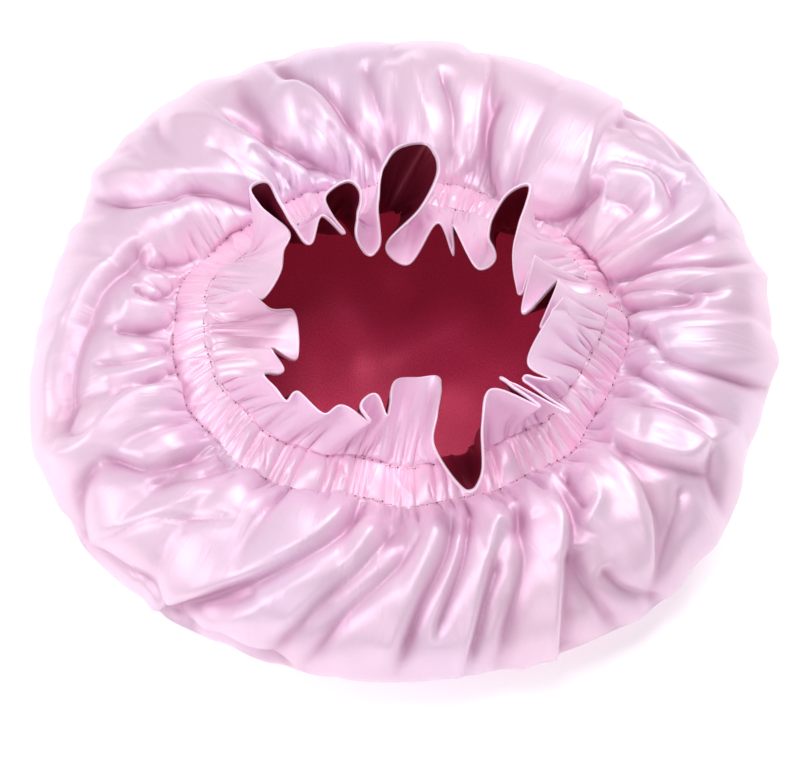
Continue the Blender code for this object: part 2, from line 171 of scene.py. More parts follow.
# Folds of the crown as they show in the photograph: each line runs through pixels of its frame,
# and left and right are the sides of that line as one looks along it.
FOLD_COLUMNS = ("kind", "line_px", "left_mm", "right_mm", "height_mm")
CROWN_FOLDS = (
    # Back left.
    (Fold.CREASE, ((216, 115), (262, 136), (300, 160), (328, 172)), 6, 3, -7),
    (Fold.RIDGE, ((160, 128), (205, 127), (250, 145), (300, 170)), 5, 8, 5),
    (Fold.RIDGE, ((88, 188), (130, 176), (205, 175), (268, 186)), 6, 4, 4),
    (Fold.CREASE, ((92, 197), (150, 203), (195, 191), (236, 204)), 5, 4, -6),
    (Fold.DOME, ((165, 225), (190, 212), (215, 222)), 12, 12, 5),
    (Fold.CREASE, ((262, 60), (318, 88), (350, 125), (379, 168)), 6, 4, -6),
    (Fold.CREASE, ((232, 84), (266, 122), (306, 162)), 8, 8, -3.5),
    (Fold.RIDGE, ((280, 76), (318, 112), (346, 168)), 7, 7, 4),
    (Fold.CREASE, ((300, 112), (326, 142), (341, 168)), 2.5, 2.5, -2),
    (Fold.CREASE, ((326, 124), (345, 150), (353, 172)), 2.5, 2.5, -2),
    (Fold.CREASE, ((250, 150), (275, 168), (290, 186)), 3, 3, -3),
    (Fold.CREASE, ((205, 150), (240, 165), (268, 184)), 8, 4, -2.5),
    # Left, short gathers outside the stitch row.
    (Fold.CREASE, ((134, 238), (152, 264), (186, 266)), 4, 6, -5),
    (Fold.RIDGE, ((138, 270), (160, 277), (180, 278)), 3, 3, 3),
    (Fold.CREASE, ((132, 286), (152, 300), (174, 293)), 3, 4, -4),
    (Fold.RIDGE, ((118, 302), (148, 309), (174, 306)), 4, 4, 3),
    (Fold.CREASE, ((112, 328), (142, 331), (176, 325)), 3, 5, -4),
    (Fold.RIDGE, ((100, 345), (140, 342), (176, 340)), 3, 3, 2),
    (Fold.CREASE, ((92, 366), (135, 364), (172, 352)), 3, 4, -3),
    (Fold.RIDGE, ((95, 382), (138, 376), (172, 362)), 3, 3, 2),
    (Fold.CREASE, ((108, 398), (145, 386), (174, 374)), 3, 4, -3),
    # Left, deep pocket along the rim.
    (Fold.CREASE, ((152, 240), (102, 290), (76, 350), (66, 410)), 8, 7, -8),
    (Fold.RIDGE, ((120, 246), (84, 292), (58, 350), (48, 430)), 5, 5, 4),
    (Fold.RIDGE, ((48, 458), (88, 446), (122, 404), (168, 391)), 4, 5, 6),
    (Fold.CREASE, ((62, 440), (88, 432), (110, 408)), 5, 3, -3),
    # Front left.
    (Fold.CREASE, ((213, 443), (182, 457), (146, 468), (116, 460)), 7, 4, -7),
    (Fold.CREASE, ((238, 456), (206, 474), (168, 480)), 5, 6, -4),
    (Fold.CREASE, ((98, 455), (80, 482), (76, 510), (80, 538)), 6, 5, -4),
    (Fold.RIDGE, ((82, 540), (132, 524), (182, 504), (238, 478)), 4, 4, 2.5),
    (Fold.CREASE, ((88, 546), (150, 520), (204, 520)), 3, 3, -2),
    (Fold.CREASE, ((84, 546), (118, 566), (150, 586), (172, 616)), 4, 3, -4),
    (Fold.TUCK, ((364, 494), (332, 534), (270, 570), (176, 606)), 9, 16, 8),
    (Fold.RIDGE, ((372, 512), (330, 556), (276, 596), (214, 626)), 7, 7, 4),
    (Fold.CREASE, ((262, 592), (228, 604), (196, 608)), 6, 6, -3),
    (Fold.CREASE, ((176, 626), (216, 637), (266, 660)), 3, 4, -4),
    (Fold.CREASE, ((404, 514), (362, 566), (320, 602), (286, 640)), 7, 6, -4.5),
    (Fold.CREASE, ((432, 516), (398, 566), (352, 610), (322, 648)), 5, 6, -4),
    (Fold.RIDGE, ((382, 520), (350, 560), (300, 606)), 4, 4, 2.5),
    # Front.
    (Fold.CREASE, ((453, 506), (446, 552), (424, 600), (410, 640)), 5, 5, -6),
    (Fold.CREASE, ((468, 506), (464, 556), (446, 610)), 4, 3, -5),
    (Fold.RIDGE, ((436, 516), (420, 570), (396, 630)), 5, 6, 3),
    (Fold.DOME, ((488, 512), (496, 520)), 7, 7, 4),
    (Fold.TUCK, ((513, 498), (511, 524), (497, 540), (470, 648)), 4, 5, 5),
    (Fold.CREASE, ((515, 500), (519, 528), (524, 558), (518, 596), (506, 640)), 7, 5, -5),
    (Fold.CREASE, ((500, 556), (488, 596), (478, 640)), 4, 3, -3),
    (Fold.RIDGE, ((532, 480), (529, 496), (531, 508)), 3, 3, 1.5),
    (Fold.TUCK, ((548, 478), (567, 512), (566, 560), (560, 640)), 8, 7, 7),
    # Front right.
    (Fold.CREASE, ((562, 468), (572, 486), (582, 500)), 3, 2.5, -4),
    (Fold.RIDGE, ((584, 470), (598, 494), (592, 514)), 2.5, 3, 3),
    (Fold.CREASE, ((570, 548), (582, 578), (606, 614)), 7, 6, -6),
    (Fold.CREASE, ((602, 566), (624, 590), (650, 600)), 5, 5, -5),
    (Fold.RIDGE, ((572, 452), (606, 468), (630, 496), (638, 520)), 4, 4, 4),
    (Fold.TUCK, ((602, 446), (632, 474), (652, 510), (656, 548)), 5, 7, 5),
    (Fold.RIDGE, ((604, 424), (640, 446), (680, 458), (702, 446)), 4, 4, 5),
    (Fold.CREASE, ((612, 440), (650, 458), (690, 468)), 3, 6, -5),
    (Fold.CREASE, ((618, 402), (670, 408), (704, 434), (717, 482)), 5, 6, -5),
    (Fold.RIDGE, ((640, 428), (672, 434), (696, 440)), 4, 4, 2.5),
    (Fold.CREASE, ((684, 480), (680, 520), (664, 572)), 5, 7, -4),
    # Right.
    (Fold.CREASE, ((597, 284), (622, 280), (662, 268), (716, 266)), 3, 3, -5),
    (Fold.CREASE, ((612, 298), (640, 291), (700, 292)), 3, 3, -4),
    (Fold.CREASE, ((616, 313), (642, 310), (682, 302)), 4, 4, -5),
    (Fold.CREASE, ((620, 331), (648, 337), (672, 360), (740, 380)), 3, 4, -4.5),
    (Fold.CREASE, ((620, 364), (648, 378), (684, 396), (712, 412)), 3, 4, -4.5),
    (Fold.RIDGE, ((618, 322), (660, 326), (730, 326)), 4, 4, 3),
    (Fold.RIDGE, ((640, 350), (684, 362), (752, 362)), 5, 5, 3),
    (Fold.RIDGE, ((612, 290), (650, 280), (740, 280)), 4, 4, 3),
    (Fold.RIDGE, ((622, 380), (660, 398), (720, 420)), 4, 4, 3),
    # Back right.
    (Fold.TUCK, ((580, 204), (588, 172), (598, 134), (622, 108)), 4, 6, -5),
    (Fold.CREASE, ((610, 124), (632, 140), (668, 160)), 7, 5, -3),
    (Fold.RIDGE, ((586, 180), (642, 184), (646, 214), (582, 262)), 5, 5, 5),
    (Fold.CREASE, ((604, 200), (622, 204), (632, 210)), 7, 7, -3),
    (Fold.RIDGE, ((624, 112), (688, 172), (692, 216), (604, 270)), 4, 4, 5),
    (Fold.CREASE, ((598, 164), (662, 180), (666, 222), (592, 266)), 4, 4, -4),
    (Fold.CREASE, ((622, 108), (654, 134), (692, 166), (726, 202)), 3, 3, -5),
    (Fold.RIDGE, ((722, 206), (690, 226), (650, 250), (618, 272)), 4, 5, 4),
    (Fold.CREASE, ((714, 228), (680, 246), (640, 268)), 7, 4, -3),
    # Back.
    (Fold.CREASE, ((364, 58), (376, 100), (392, 144)), 7, 7, -3.5),
    (Fold.RIDGE, ((408, 56), (420, 100), (432, 142)), 4, 4, 4),
    (Fold.CREASE, ((438, 70), (452, 112), (452, 148)), 6, 7, -4),
    (Fold.TUCK, ((460, 180), (476, 154), (482, 116), (486, 90)), 5, 7, -5),
    (Fold.CREASE, ((504, 92), (488, 126), (488, 162), (491, 190)), 6, 5, -6),
    (Fold.DOME, ((526, 168), (552, 140)), 24, 24, 5),
    (Fold.CREASE, ((606, 186), (584, 208), (560, 222)), 5, 6, -5),
    (Fold.RIDGE, ((384, 60), (398, 100), (408, 140)), 4, 4, 2.5),
)

# Broad swells of the lining's floor, by the same rule.
FLOOR_SWELLS = (
    (Fold.RIDGE, ((330, 372), (398, 346), (462, 316)), 18, 12, 3.6),
    (Fold.DOME, ((300, 262), (330, 292)), 16, 16, 3.2),
    (Fold.CREASE, ((370, 300), (430, 286), (500, 296)), 18, 18, -2.6),
    (Fold.RIDGE, ((400, 400), (460, 380), (520, 350)), 12, 12, 1.4),
    (Fold.CREASE, ((300, 340), (340, 320), (380, 318)), 12, 12, -1.2),
)


def unit(vectors: np.ndarray) -> np.ndarray:
    """Vectors of the last axis, at length one."""
    length = np.linalg.norm(vectors, axis=-1, keepdims=True)
    return vectors / np.maximum(length, 1e-12)


def ease(value: np.ndarray) -> np.ndarray:
    """Smooth step from 0 to 1."""
    value = np.clip(value, 0.0, 1.0)
    return value * value * (3 - 2 * value)


def round_off(values: np.ndarray, reach: int) -> np.ndarray:
    """Running mean along a closed curve, which rounds its tightest turns.

    Args:
        values: Points of the curve, one to a row.
        reach: Neighbours taken in on each side.

    Returns:
        The rounded points.
    """
    kernel = np.hanning(2 * reach + 3)[1:-1]
    kernel = kernel / kernel.sum()
    wrapped = np.concatenate([values[-reach:], values, values[:reach]])
    columns = [np.convolve(wrapped[:, k], kernel, "valid") for k in range(values.shape[1])]
    return np.stack(columns, -1)


def turns(count: int) -> np.ndarray:
    """Angles in radians, spread evenly over one turn."""
    return np.arange(count) * 2 * np.pi / count


def wrapped(angle: np.ndarray) -> np.ndarray:
    """Angles in radians, brought to within half a turn of zero."""
    return np.mod(angle + np.pi, 2 * np.pi) - np.pi


def between(
    before: np.ndarray,
    here: np.ndarray,
    after: np.ndarray,
    later: np.ndarray,
    part: np.ndarray | float,
) -> np.ndarray:
    """Smooth curve through four values, between the two in the middle.

    Args:
        before: Value before the stretch.
        here: Value at its start.
        after: Value at its end.
        later: Value after it.
        part: How far along the stretch, from 0 to 1.

    Returns:
        The value there.
    """
    return 0.5 * (
        2 * here
        + (after - before) * part
        + (2 * before - 5 * here + 4 * after - later) * part**2
        + (3 * here - before - 3 * after + later) * part**3
    )


def spline(points: np.ndarray, fine: int) -> np.ndarray:
    """Smooth open line through a few points.

    Args:
        points: The points it passes through.
        fine: Steps between two neighbouring points.

    Returns:
        The points of the line.
    """
    ends = np.concatenate([2 * points[:1] - points[1:2], points, 2 * points[-1:] - points[-2:-1]])
    line = []
    for i in range(len(points) - 1):
        line += [between(*ends[i : i + 4], part) for part in np.arange(fine) / fine]
    line.append(points[-1])
    return np.array(line)


@dataclass(frozen=True)
class PhotoCamera:
    """Camera at the photograph's viewing angle, and the map from the bonnet to its pixels."""

    aim: tuple[float, float, float] = (0.0, -0.0145, 0.040)
    distance: float = 1.45
    elevation_deg: float = 60.0
    focal_px: float = 2965.0
    aim_px: tuple[float, float] = (404.0, 359.0)
    frame_px: tuple[int, int] = (798, 774)
    sensor_mm: float = 36.0

    def axes(self) -> tuple[np.ndarray, np.ndarray, np.ndarray]:
        """Unit vectors to the right, up and forward, as the camera sees them."""
        lift = np.radians(self.elevation_deg)
        forward = np.array([0.0, np.cos(lift), -np.sin(lift)])
        return np.array([1.0, 0.0, 0.0]), np.array([0.0, np.sin(lift), np.cos(lift)]), forward

    def place(self) -> np.ndarray:
        """Where the camera stands."""
        return np.array(self.aim) - self.axes()[2] * self.distance

    def to_pixels(self, points: np.ndarray) -> np.ndarray:
        """Photograph pixels of points on the bonnet.

        Args:
            points: Places in metres, on the last axis.

        Returns:
            Pixels from the left and from the top, on the last axis.
        """
        right, up, forward = self.axes()
        ray = points - self.place()
        depth = ray @ forward
        x = self.aim_px[0] + self.focal_px * (ray @ right) / depth
        y = self.aim_px[1] - self.focal_px * (ray @ up) / depth
        return np.stack([x, y], -1)

    def pixel_mm(self) -> float:
        """Millimetres of the bonnet that one pixel covers."""
        return 1000 * self.distance / self.focal_px

    def build(self) -> bpy.types.Object:
        """Put the camera into the scene.

        Returns:
            The camera.
        """
        lens = bpy.data.cameras.new("photo_camera")
        lens.sensor_fit = "HORIZONTAL"
        lens.sensor_width = self.sensor_mm
        lens.lens = self.focal_px * self.sensor_mm / self.frame_px[0]
        lens.shift_x = (self.frame_px[0] / 2 - self.aim_px[0]) / self.frame_px[0]
        lens.shift_y = (self.aim_px[1] - self.frame_px[1] / 2) / self.frame_px[0]
        lens.clip_start = 0.05
        camera = put_in_scene("photo_camera", lens)
        camera.location = self.place()
        camera.rotation_euler = (np.radians(90 - self.elevation_deg), 0.0, 0.0)
        bpy.context.scene.camera = camera
        return camera


@dataclass(frozen=True)
class FoldLines:
    """Folds laid along lines that were read off the photograph."""

    camera: PhotoCamera
    rows: tuple[tuple, ...]
    fade_px: float = 48.0

    def relief(self, points: np.ndarray, normals: np.ndarray) -> np.ndarray:
        """Height of all the folds over a surface.

        Args:
            points: The surface, rows by columns by three.
            normals: Its normals.

        Returns:
            Metres along the normals, rows by columns.
        """
        pixels = self.camera.to_pixels(points).reshape(-1, 2)
        facing = (unit(self.camera.place() - points) * normals).sum(-1).reshape(-1)
        seen = ease((facing - 0.02) / 0.2)
        total = np.zeros(len(pixels))
        for row in self.rows:
            fold = dict(zip(FOLD_COLUMNS, row))
            reach = 3.2 * max(fold["left_mm"], fold["right_mm"]) / self.camera.pixel_mm()
            line = spline(self.run_on(np.array(fold["line_px"], float)), 7)
            low, high = line.min(0) - reach, line.max(0) + reach
            near = np.flatnonzero((seen > 0) & (pixels > low).all(1) & (pixels < high).all(1))
            if len(near):
                total[near] += self.one(fold, line, pixels[near]) * seen[near]
        return 0.0013 * total.reshape(points.shape[:2])

    def run_on(self, line: np.ndarray) -> np.ndarray:
        """A line carried on past its last point, where its fold fades out."""
        last = line[-1] - line[-2]
        further = min(self.fade_px, 0.35 * np.linalg.norm(np.diff(line, axis=0), axis=1).sum())
        return np.concatenate([line, [line[-1] + last / np.linalg.norm(last) * further]])

    def one(self, fold: dict, line: np.ndarray, pixels: np.ndarray) -> np.ndarray:
        """Height of one fold in millimetres.

        Args:
            fold: Its row of the table, by column.
            line: Its line, in pixels.
            pixels: Where it is wanted.

        Returns:
            One height for each pixel.
        """
        start, step = line[:-1], np.diff(line, axis=0)
        away = pixels[:, None] - start[None]
        share = np.clip((away * step).sum(-1) / (step**2).sum(-1), 0, 1)
        off = away - share[..., None] * step
        distance = np.linalg.norm(off, axis=-1)
        best = distance.argmin(1)
        pick = np.arange(len(pixels))
        along = (best + share[pick, best]) / len(start)
        turn = step[best, 0] * away[pick, best, 1] - step[best, 1] * away[pick, best, 0]
        millimetres = distance[pick, best] * self.camera.pixel_mm()
        left = turn < 0
        width = np.where(left, fold["left_mm"], fold["right_mm"])
        ends = ease((along + 0.02) / 0.14) * ease((1.02 - along) / 0.28)
        reach = millimetres / width
        if fold["kind"] is Fold.DOME:
            return fold["height_mm"] * np.exp(-(reach**2))
        if fold["kind"] is Fold.RIDGE:
            crest = np.exp(-1.7 * (np.hypot(reach, 0.35) - 0.35))
            return fold["height_mm"] * ends * (0.4 * crest + 0.6 * np.exp(-((reach / 2.1) ** 2)))
        if fold["kind"] is Fold.CREASE:
            return fold["height_mm"] * ends * np.exp(-(np.hypot(reach, 0.18) - 0.18) * 1.5)
        signed = np.where(left, -millimetres, millimetres) / 1.1
        step_up = 1 / (1 + np.exp(-np.clip(signed * np.sign(fold["height_mm"]), -30, 30)))
        size = abs(fold["height_mm"]) * ends
        return size * (0.55 * step_up - 0.75 * (1 - step_up)) * np.exp(-(reach**1.5))


@dataclass(frozen=True)
class Gathers:
    """Little pleats where the elastic draws the cloth in, spaced unevenly round the mouth."""

    count: int = 168
    seed: int = 21
    unevenness: float = 0.95

    def positions(self, keep: int = 1) -> np.ndarray:
        """Angles of the valleys between pleats.

        Args:
            keep: 1 for every valley, 3 for each third one, and so on.

        Returns:
            Rising angles in radians, within one turn.
        """
        chance = np.random.default_rng(self.seed)
        steps = np.exp(self.unevenness * chance.standard_normal(self.count))
        angle = np.cumsum(steps) / steps.sum() * 2 * np.pi
        return angle[::keep] - 0.5 * angle[0]

    def pleats(self, angle: np.ndarray, keep: int = 1, sharp: float = 0.6) -> np.ndarray:
        """Rounded pleats with sharp valleys, higher where they are wider.

        Args:
            angle: Angles in radians.
            keep: As in positions.
            sharp: Power of the profile; lower is squarer.

        Returns:
            Heights of about 0 to 1.
        """
        valley = self.positions(keep)
        valley = np.append(valley, valley[0] + 2 * np.pi)
        turned = np.mod(angle - valley[0], 2 * np.pi) + valley[0]
        index = np.clip(np.searchsorted(valley, turned, side="right") - 1, 0, len(valley) - 2)
        width = valley[index + 1] - valley[index]
        part = (turned - valley[index]) / width
        mean = 2 * np.pi / (len(valley) - 1)
        return (4 * part * (1 - part)) ** sharp * np.clip(width / mean, 0.25, 1.9) ** 0.7


@dataclass(frozen=True)
class BonnetShape:
    """Sizes and mean surfaces that all pieces share."""

    rim_radius: float = 0.180
    rim_height: float = 0.031
    crest_height: float = 0.073
    crest_share: float = 0.36
    crest_place: float = 0.40
    tuck_share: float = 0.30
    row_half_length: float = 0.1085
    row_half_width: float = 0.0900
    row_centre: tuple[float, float] = (-0.0035, -0.0160)
    row_height: float = 0.060
    casing_width: float = 0.021
    row_lift: float = 0.0009
    lining_drop: float = 0.0006
    gathers: Gathers = field(default_factory=Gathers)

    def section(self, column: str, angle: np.ndarray) -> np.ndarray:
        """Smooth value of one column of SECTIONS.

        Args:
            column: One of SECTION_COLUMNS.
            angle: Angles in radians.

        Returns:
            One value for each angle.
        """
        values = np.array([row[SECTION_COLUMNS.index(column)] for row in SECTIONS], float)
        count = len(values)
        place = np.mod(angle, 2 * np.pi) * count / (2 * np.pi)
        index = np.floor(place).astype(int) % count
        four = (values[(index + k) % count] for k in (-1, 0, 1, 2))
        return between(*four, place - np.floor(place))

    def outer_row(self, angle: np.ndarray) -> np.ndarray:
        """Outer stitch row, which wanders a little as soft cloth does.

        Args:
            angle: Angles in radians.

        Returns:
            Points of the row.
        """
        wide = 0.0016 * np.sin(5 * angle + 0.4) + 0.0012 * np.sin(9 * angle + 2.0)
        wide = wide + 0.0008 * np.sin(16 * angle + 1.0)
        x = self.row_centre[0] + (self.row_half_length + wide) * np.cos(angle)
        y = self.row_centre[1] + (self.row_half_width + wide) * np.sin(angle)
        rise = 0.0013 * np.sin(6 * angle + 1.3) + 0.0008 * np.sin(13 * angle + 0.5)
        return np.stack([x, y, self.row_height + rise], -1)

    def row_frame(self, angle: np.ndarray) -> tuple[np.ndarray, ...]:
        """Directions at the stitch rows.

        Args:
            angle: Angles in radians.

        Returns:
            Unit vectors along the row, level towards the mouth, across the casing, and off it.
        """
        along = unit(
            np.stack(
                [
                    -self.row_half_length * np.sin(angle),
                    self.row_half_width * np.cos(angle),
                    0 * angle,
                ],
                -1,
            )
        )
        inward = np.stack([-along[..., 1], along[..., 0], 0 * angle], -1)
        tilt = np.radians(self.section("casing_tilt_deg", angle))[..., None]
        across = inward * np.cos(tilt) + UP * np.sin(tilt)
        return along, inward, across, UP * np.cos(tilt) - inward * np.sin(tilt)

    def casing_point(self, angle: np.ndarray, share: np.ndarray, lift: np.ndarray) -> np.ndarray:
        """Points over the casing.

        Args:
            angle: Angles in radians.
            share: 0 at the outer stitch row, 1 at the inner one.
            lift: Metres off the casing's face.

        Returns:
            One point for each angle.
        """
        across, face = self.row_frame(angle)[2:]
        width = (share * self.casing_width)[..., None]
        return self.outer_row(angle) + across * width + face * lift[..., None]

    def row_wave(self, angle: np.ndarray) -> np.ndarray:
        """Lift of the pink cloth at both stitch rows, where it is drawn into small pleats."""
        return self.row_lift + 0.0007 * (self.gathers.pleats(angle) - 0.5)

    def rim(self, angle: np.ndarray) -> np.ndarray:
        """Plan of the rim."""
        radius = self.rim_radius * self.section("rim_share", angle)
        return np.stack([radius * np.cos(angle), radius * np.sin(angle)], -1)

    def crown_mean(self, angle: np.ndarray, place: np.ndarray) -> np.ndarray:
        """Crown without its folds.

        Args:
            angle: Angles in radians.
            place: 0 at the outer stitch row, 1 at the rim, 2 at the edge of the base and 3 in
                its middle.

        Returns:
            One point for each angle and place.
        """
        start = self.casing_point(angle, 0 * angle, self.row_wave(angle))
        rim = self.rim(angle)
        crest = self.crest_height * self.section("crest_share", angle)
        rise = np.clip(place / self.crest_place, 0, 1)
        fall = np.clip((place - self.crest_place) / (1 - self.crest_place), 0, 1) * np.pi / 2
        under = np.clip(place - 1, 0, 1) * np.pi / 2
        spread = self.crest_share * rise + (1 - self.crest_share) * np.sin(fall)
        plan = start[..., :2] + (rim - start[..., :2]) * spread[..., None]
        tucked = rim * (1 - self.tuck_share * (1 - np.cos(under)))[..., None]
        tucked = tucked * np.clip(3 - place, 0, 1)[..., None]
        plan = np.where((place > 1)[..., None], tucked, plan)
        near = start[..., 2] + (crest - start[..., 2]) * np.sin(rise * np.pi / 2)
        far = self.rim_height + (crest - self.rim_height) * np.cos(fall)
        height = np.where(place < self.crest_place, near, far)
        height = np.where(place > 1, self.rim_height * (1 - np.sin(under)), height)
        return np.concatenate([plan, height[..., None]], -1)


def grid_normals(points: np.ndarray, outward: np.ndarray) -> np.ndarray:
    """Normals of a ring of cloth, turned to the side given.

    Args:
        points: Rows by columns by three; the last column meets the first.
        outward: Rough direction of the wanted side, one for each point.

    Returns:
        Unit normals, one for each point.
    """
    along = np.roll(points, -1, axis=1) - np.roll(points, 1, axis=1)
    normal = unit(np.cross(along, np.gradient(points, axis=0)))
    turned = (normal * outward).sum() < 0
    return -normal if turned else normal


def put_in_scene(name: str, data: bpy.types.ID) -> bpy.types.Object:
    """New object of a mesh, a camera or a lamp, linked to the scene."""
    made = bpy.data.objects.new(name, data)
    bpy.context.scene.collection.objects.link(made)
    return made


def mesh_of(name: str, shape: bmesh.types.BMesh) -> bpy.types.Mesh:
    """New mesh of a shape, which is used up."""
    mesh = bpy.data.meshes.new(name)
    shape.to_mesh(mesh)
    shape.free()
    return mesh


def vertex_places(mesh: bpy.types.Mesh) -> np.ndarray:
    """Where a mesh's vertices are, one to a row."""
    found = np.empty(len(mesh.vertices) * 3)
    mesh.vertices.foreach_get("co", found)
    return found.reshape(-1, 3)


def set_uv(mesh: bpy.types.Mesh, places: np.ndarray) -> None:
    """Lay a mesh's UV map "cloth" out by one flat place in metres for each vertex."""
    corner = np.empty(len(mesh.loops), int)
    mesh.loops.foreach_get("vertex_index", corner)
    mesh.uv_layers["cloth"].data.foreach_set("uv", places[corner].ravel())


def ring_of_cloth(
    name: str,
    points: np.ndarray,
    outward: np.ndarray,
    flat: tuple[float, float],
    hidden: dict[str, np.ndarray] | None = None,
) -> bpy.types.Object:
    """Ring of cloth from a grid whose vertices are moved to points, closed along its seam.

    Args:
        name: Name of the new object.
        points: Rows by columns by three.
        outward: Normals of the side that shows.
        flat: Length and depth of the flat cloth in metres, for its UV map.
        hidden: Values to keep on the vertices, by attribute name.

    Returns:
        The new object.
    """
    rows, columns = points.shape[:2]
    shape = bmesh.new()
    shape.loops.layers.uv.new("cloth")
    bmesh.ops.create_grid(shape, x_segments=columns, y_segments=rows - 1, size=1, calc_uvs=True)
    mesh = mesh_of(name, shape)
    start = vertex_places(mesh)
    column = np.rint((start[:, 0] + 1) / 2 * columns).astype(int)
    row = np.rint((start[:, 1] + 1) / 2 * (rows - 1)).astype(int)
    mesh.vertices.foreach_set("co", points[row, column % columns].ravel())
    set_uv(mesh, np.stack([column / columns * flat[0], row / (rows - 1) * flat[1]], -1))
    for key, values in (hidden or {}).items():
        layer = mesh.attributes.new(key, "FLOAT", "POINT")
        layer.data.foreach_set("value", values[row, column % columns].astype(np.float32))
    shape = bmesh.new()
    shape.from_mesh(mesh)
    shape.verts.ensure_lookup_table()
    ends = np.flatnonzero((column == 0) | (column == columns) | (row == 0) | (row == rows - 1))
    bmesh.ops.remove_doubles(shape, verts=[shape.verts[i] for i in ends], dist=1e-6)
    side = np.cross(np.roll(points, -1, axis=1) - points, np.gradient(points, axis=0))
    if (side * outward).sum() < 0:
        bmesh.ops.reverse_faces(shape, faces=shape.faces[:])
    shape.to_mesh(mesh)
    shape.free()
    mesh.shade_smooth()
    return put_in_scene(name, mesh)


def nearest_rows(found: np.ndarray, points: np.ndarray) -> np.ndarray:
    """Which point of a grid each vertex came from.

    Args:
        found: Vertices, one to a row.
        points: The grid, rows by columns by three.

    Returns:
        Flat index into the grid for each vertex.
    """
    tree = KDTree(points.shape[0] * points.shape[1])
    for index, place in enumerate(points.reshape(-1, 3)):
        tree.insert(place, index)
    tree.balance()
    return np.array([tree.find(place)[1] for place in found])


def add_node(
    tree: bpy.types.NodeTree,
    kind: str,
    values: dict[str | int, object] | None = None,
    **settings: object,
) -> bpy.types.Node:
    """Node with its settings made, its values set and its links drawn.

    Args:
        tree: Tree that it joins.
        kind: Its type.
        values: A value for each input, by name or number, or the socket that feeds it.
        **settings: The node's own properties.

    Returns:
        The node.
    """
    node = tree.nodes.new(kind)
    for key, value in settings.items():
        setattr(node, key, value)
    for key, value in (values or {}).items():
        if isinstance(value, bpy.types.NodeSocket):
            tree.links.new(value, node.inputs[key])
        else:
            node.inputs[key].default_value = value
    return node


# Numbers of the sockets of a Mix node, which has one set for values and one for colours.
VALUE_A, VALUE_B, VALUE_OUT = 2, 3, 0
COLOUR_A, COLOUR_B, COLOUR_OUT = 6, 7, 2


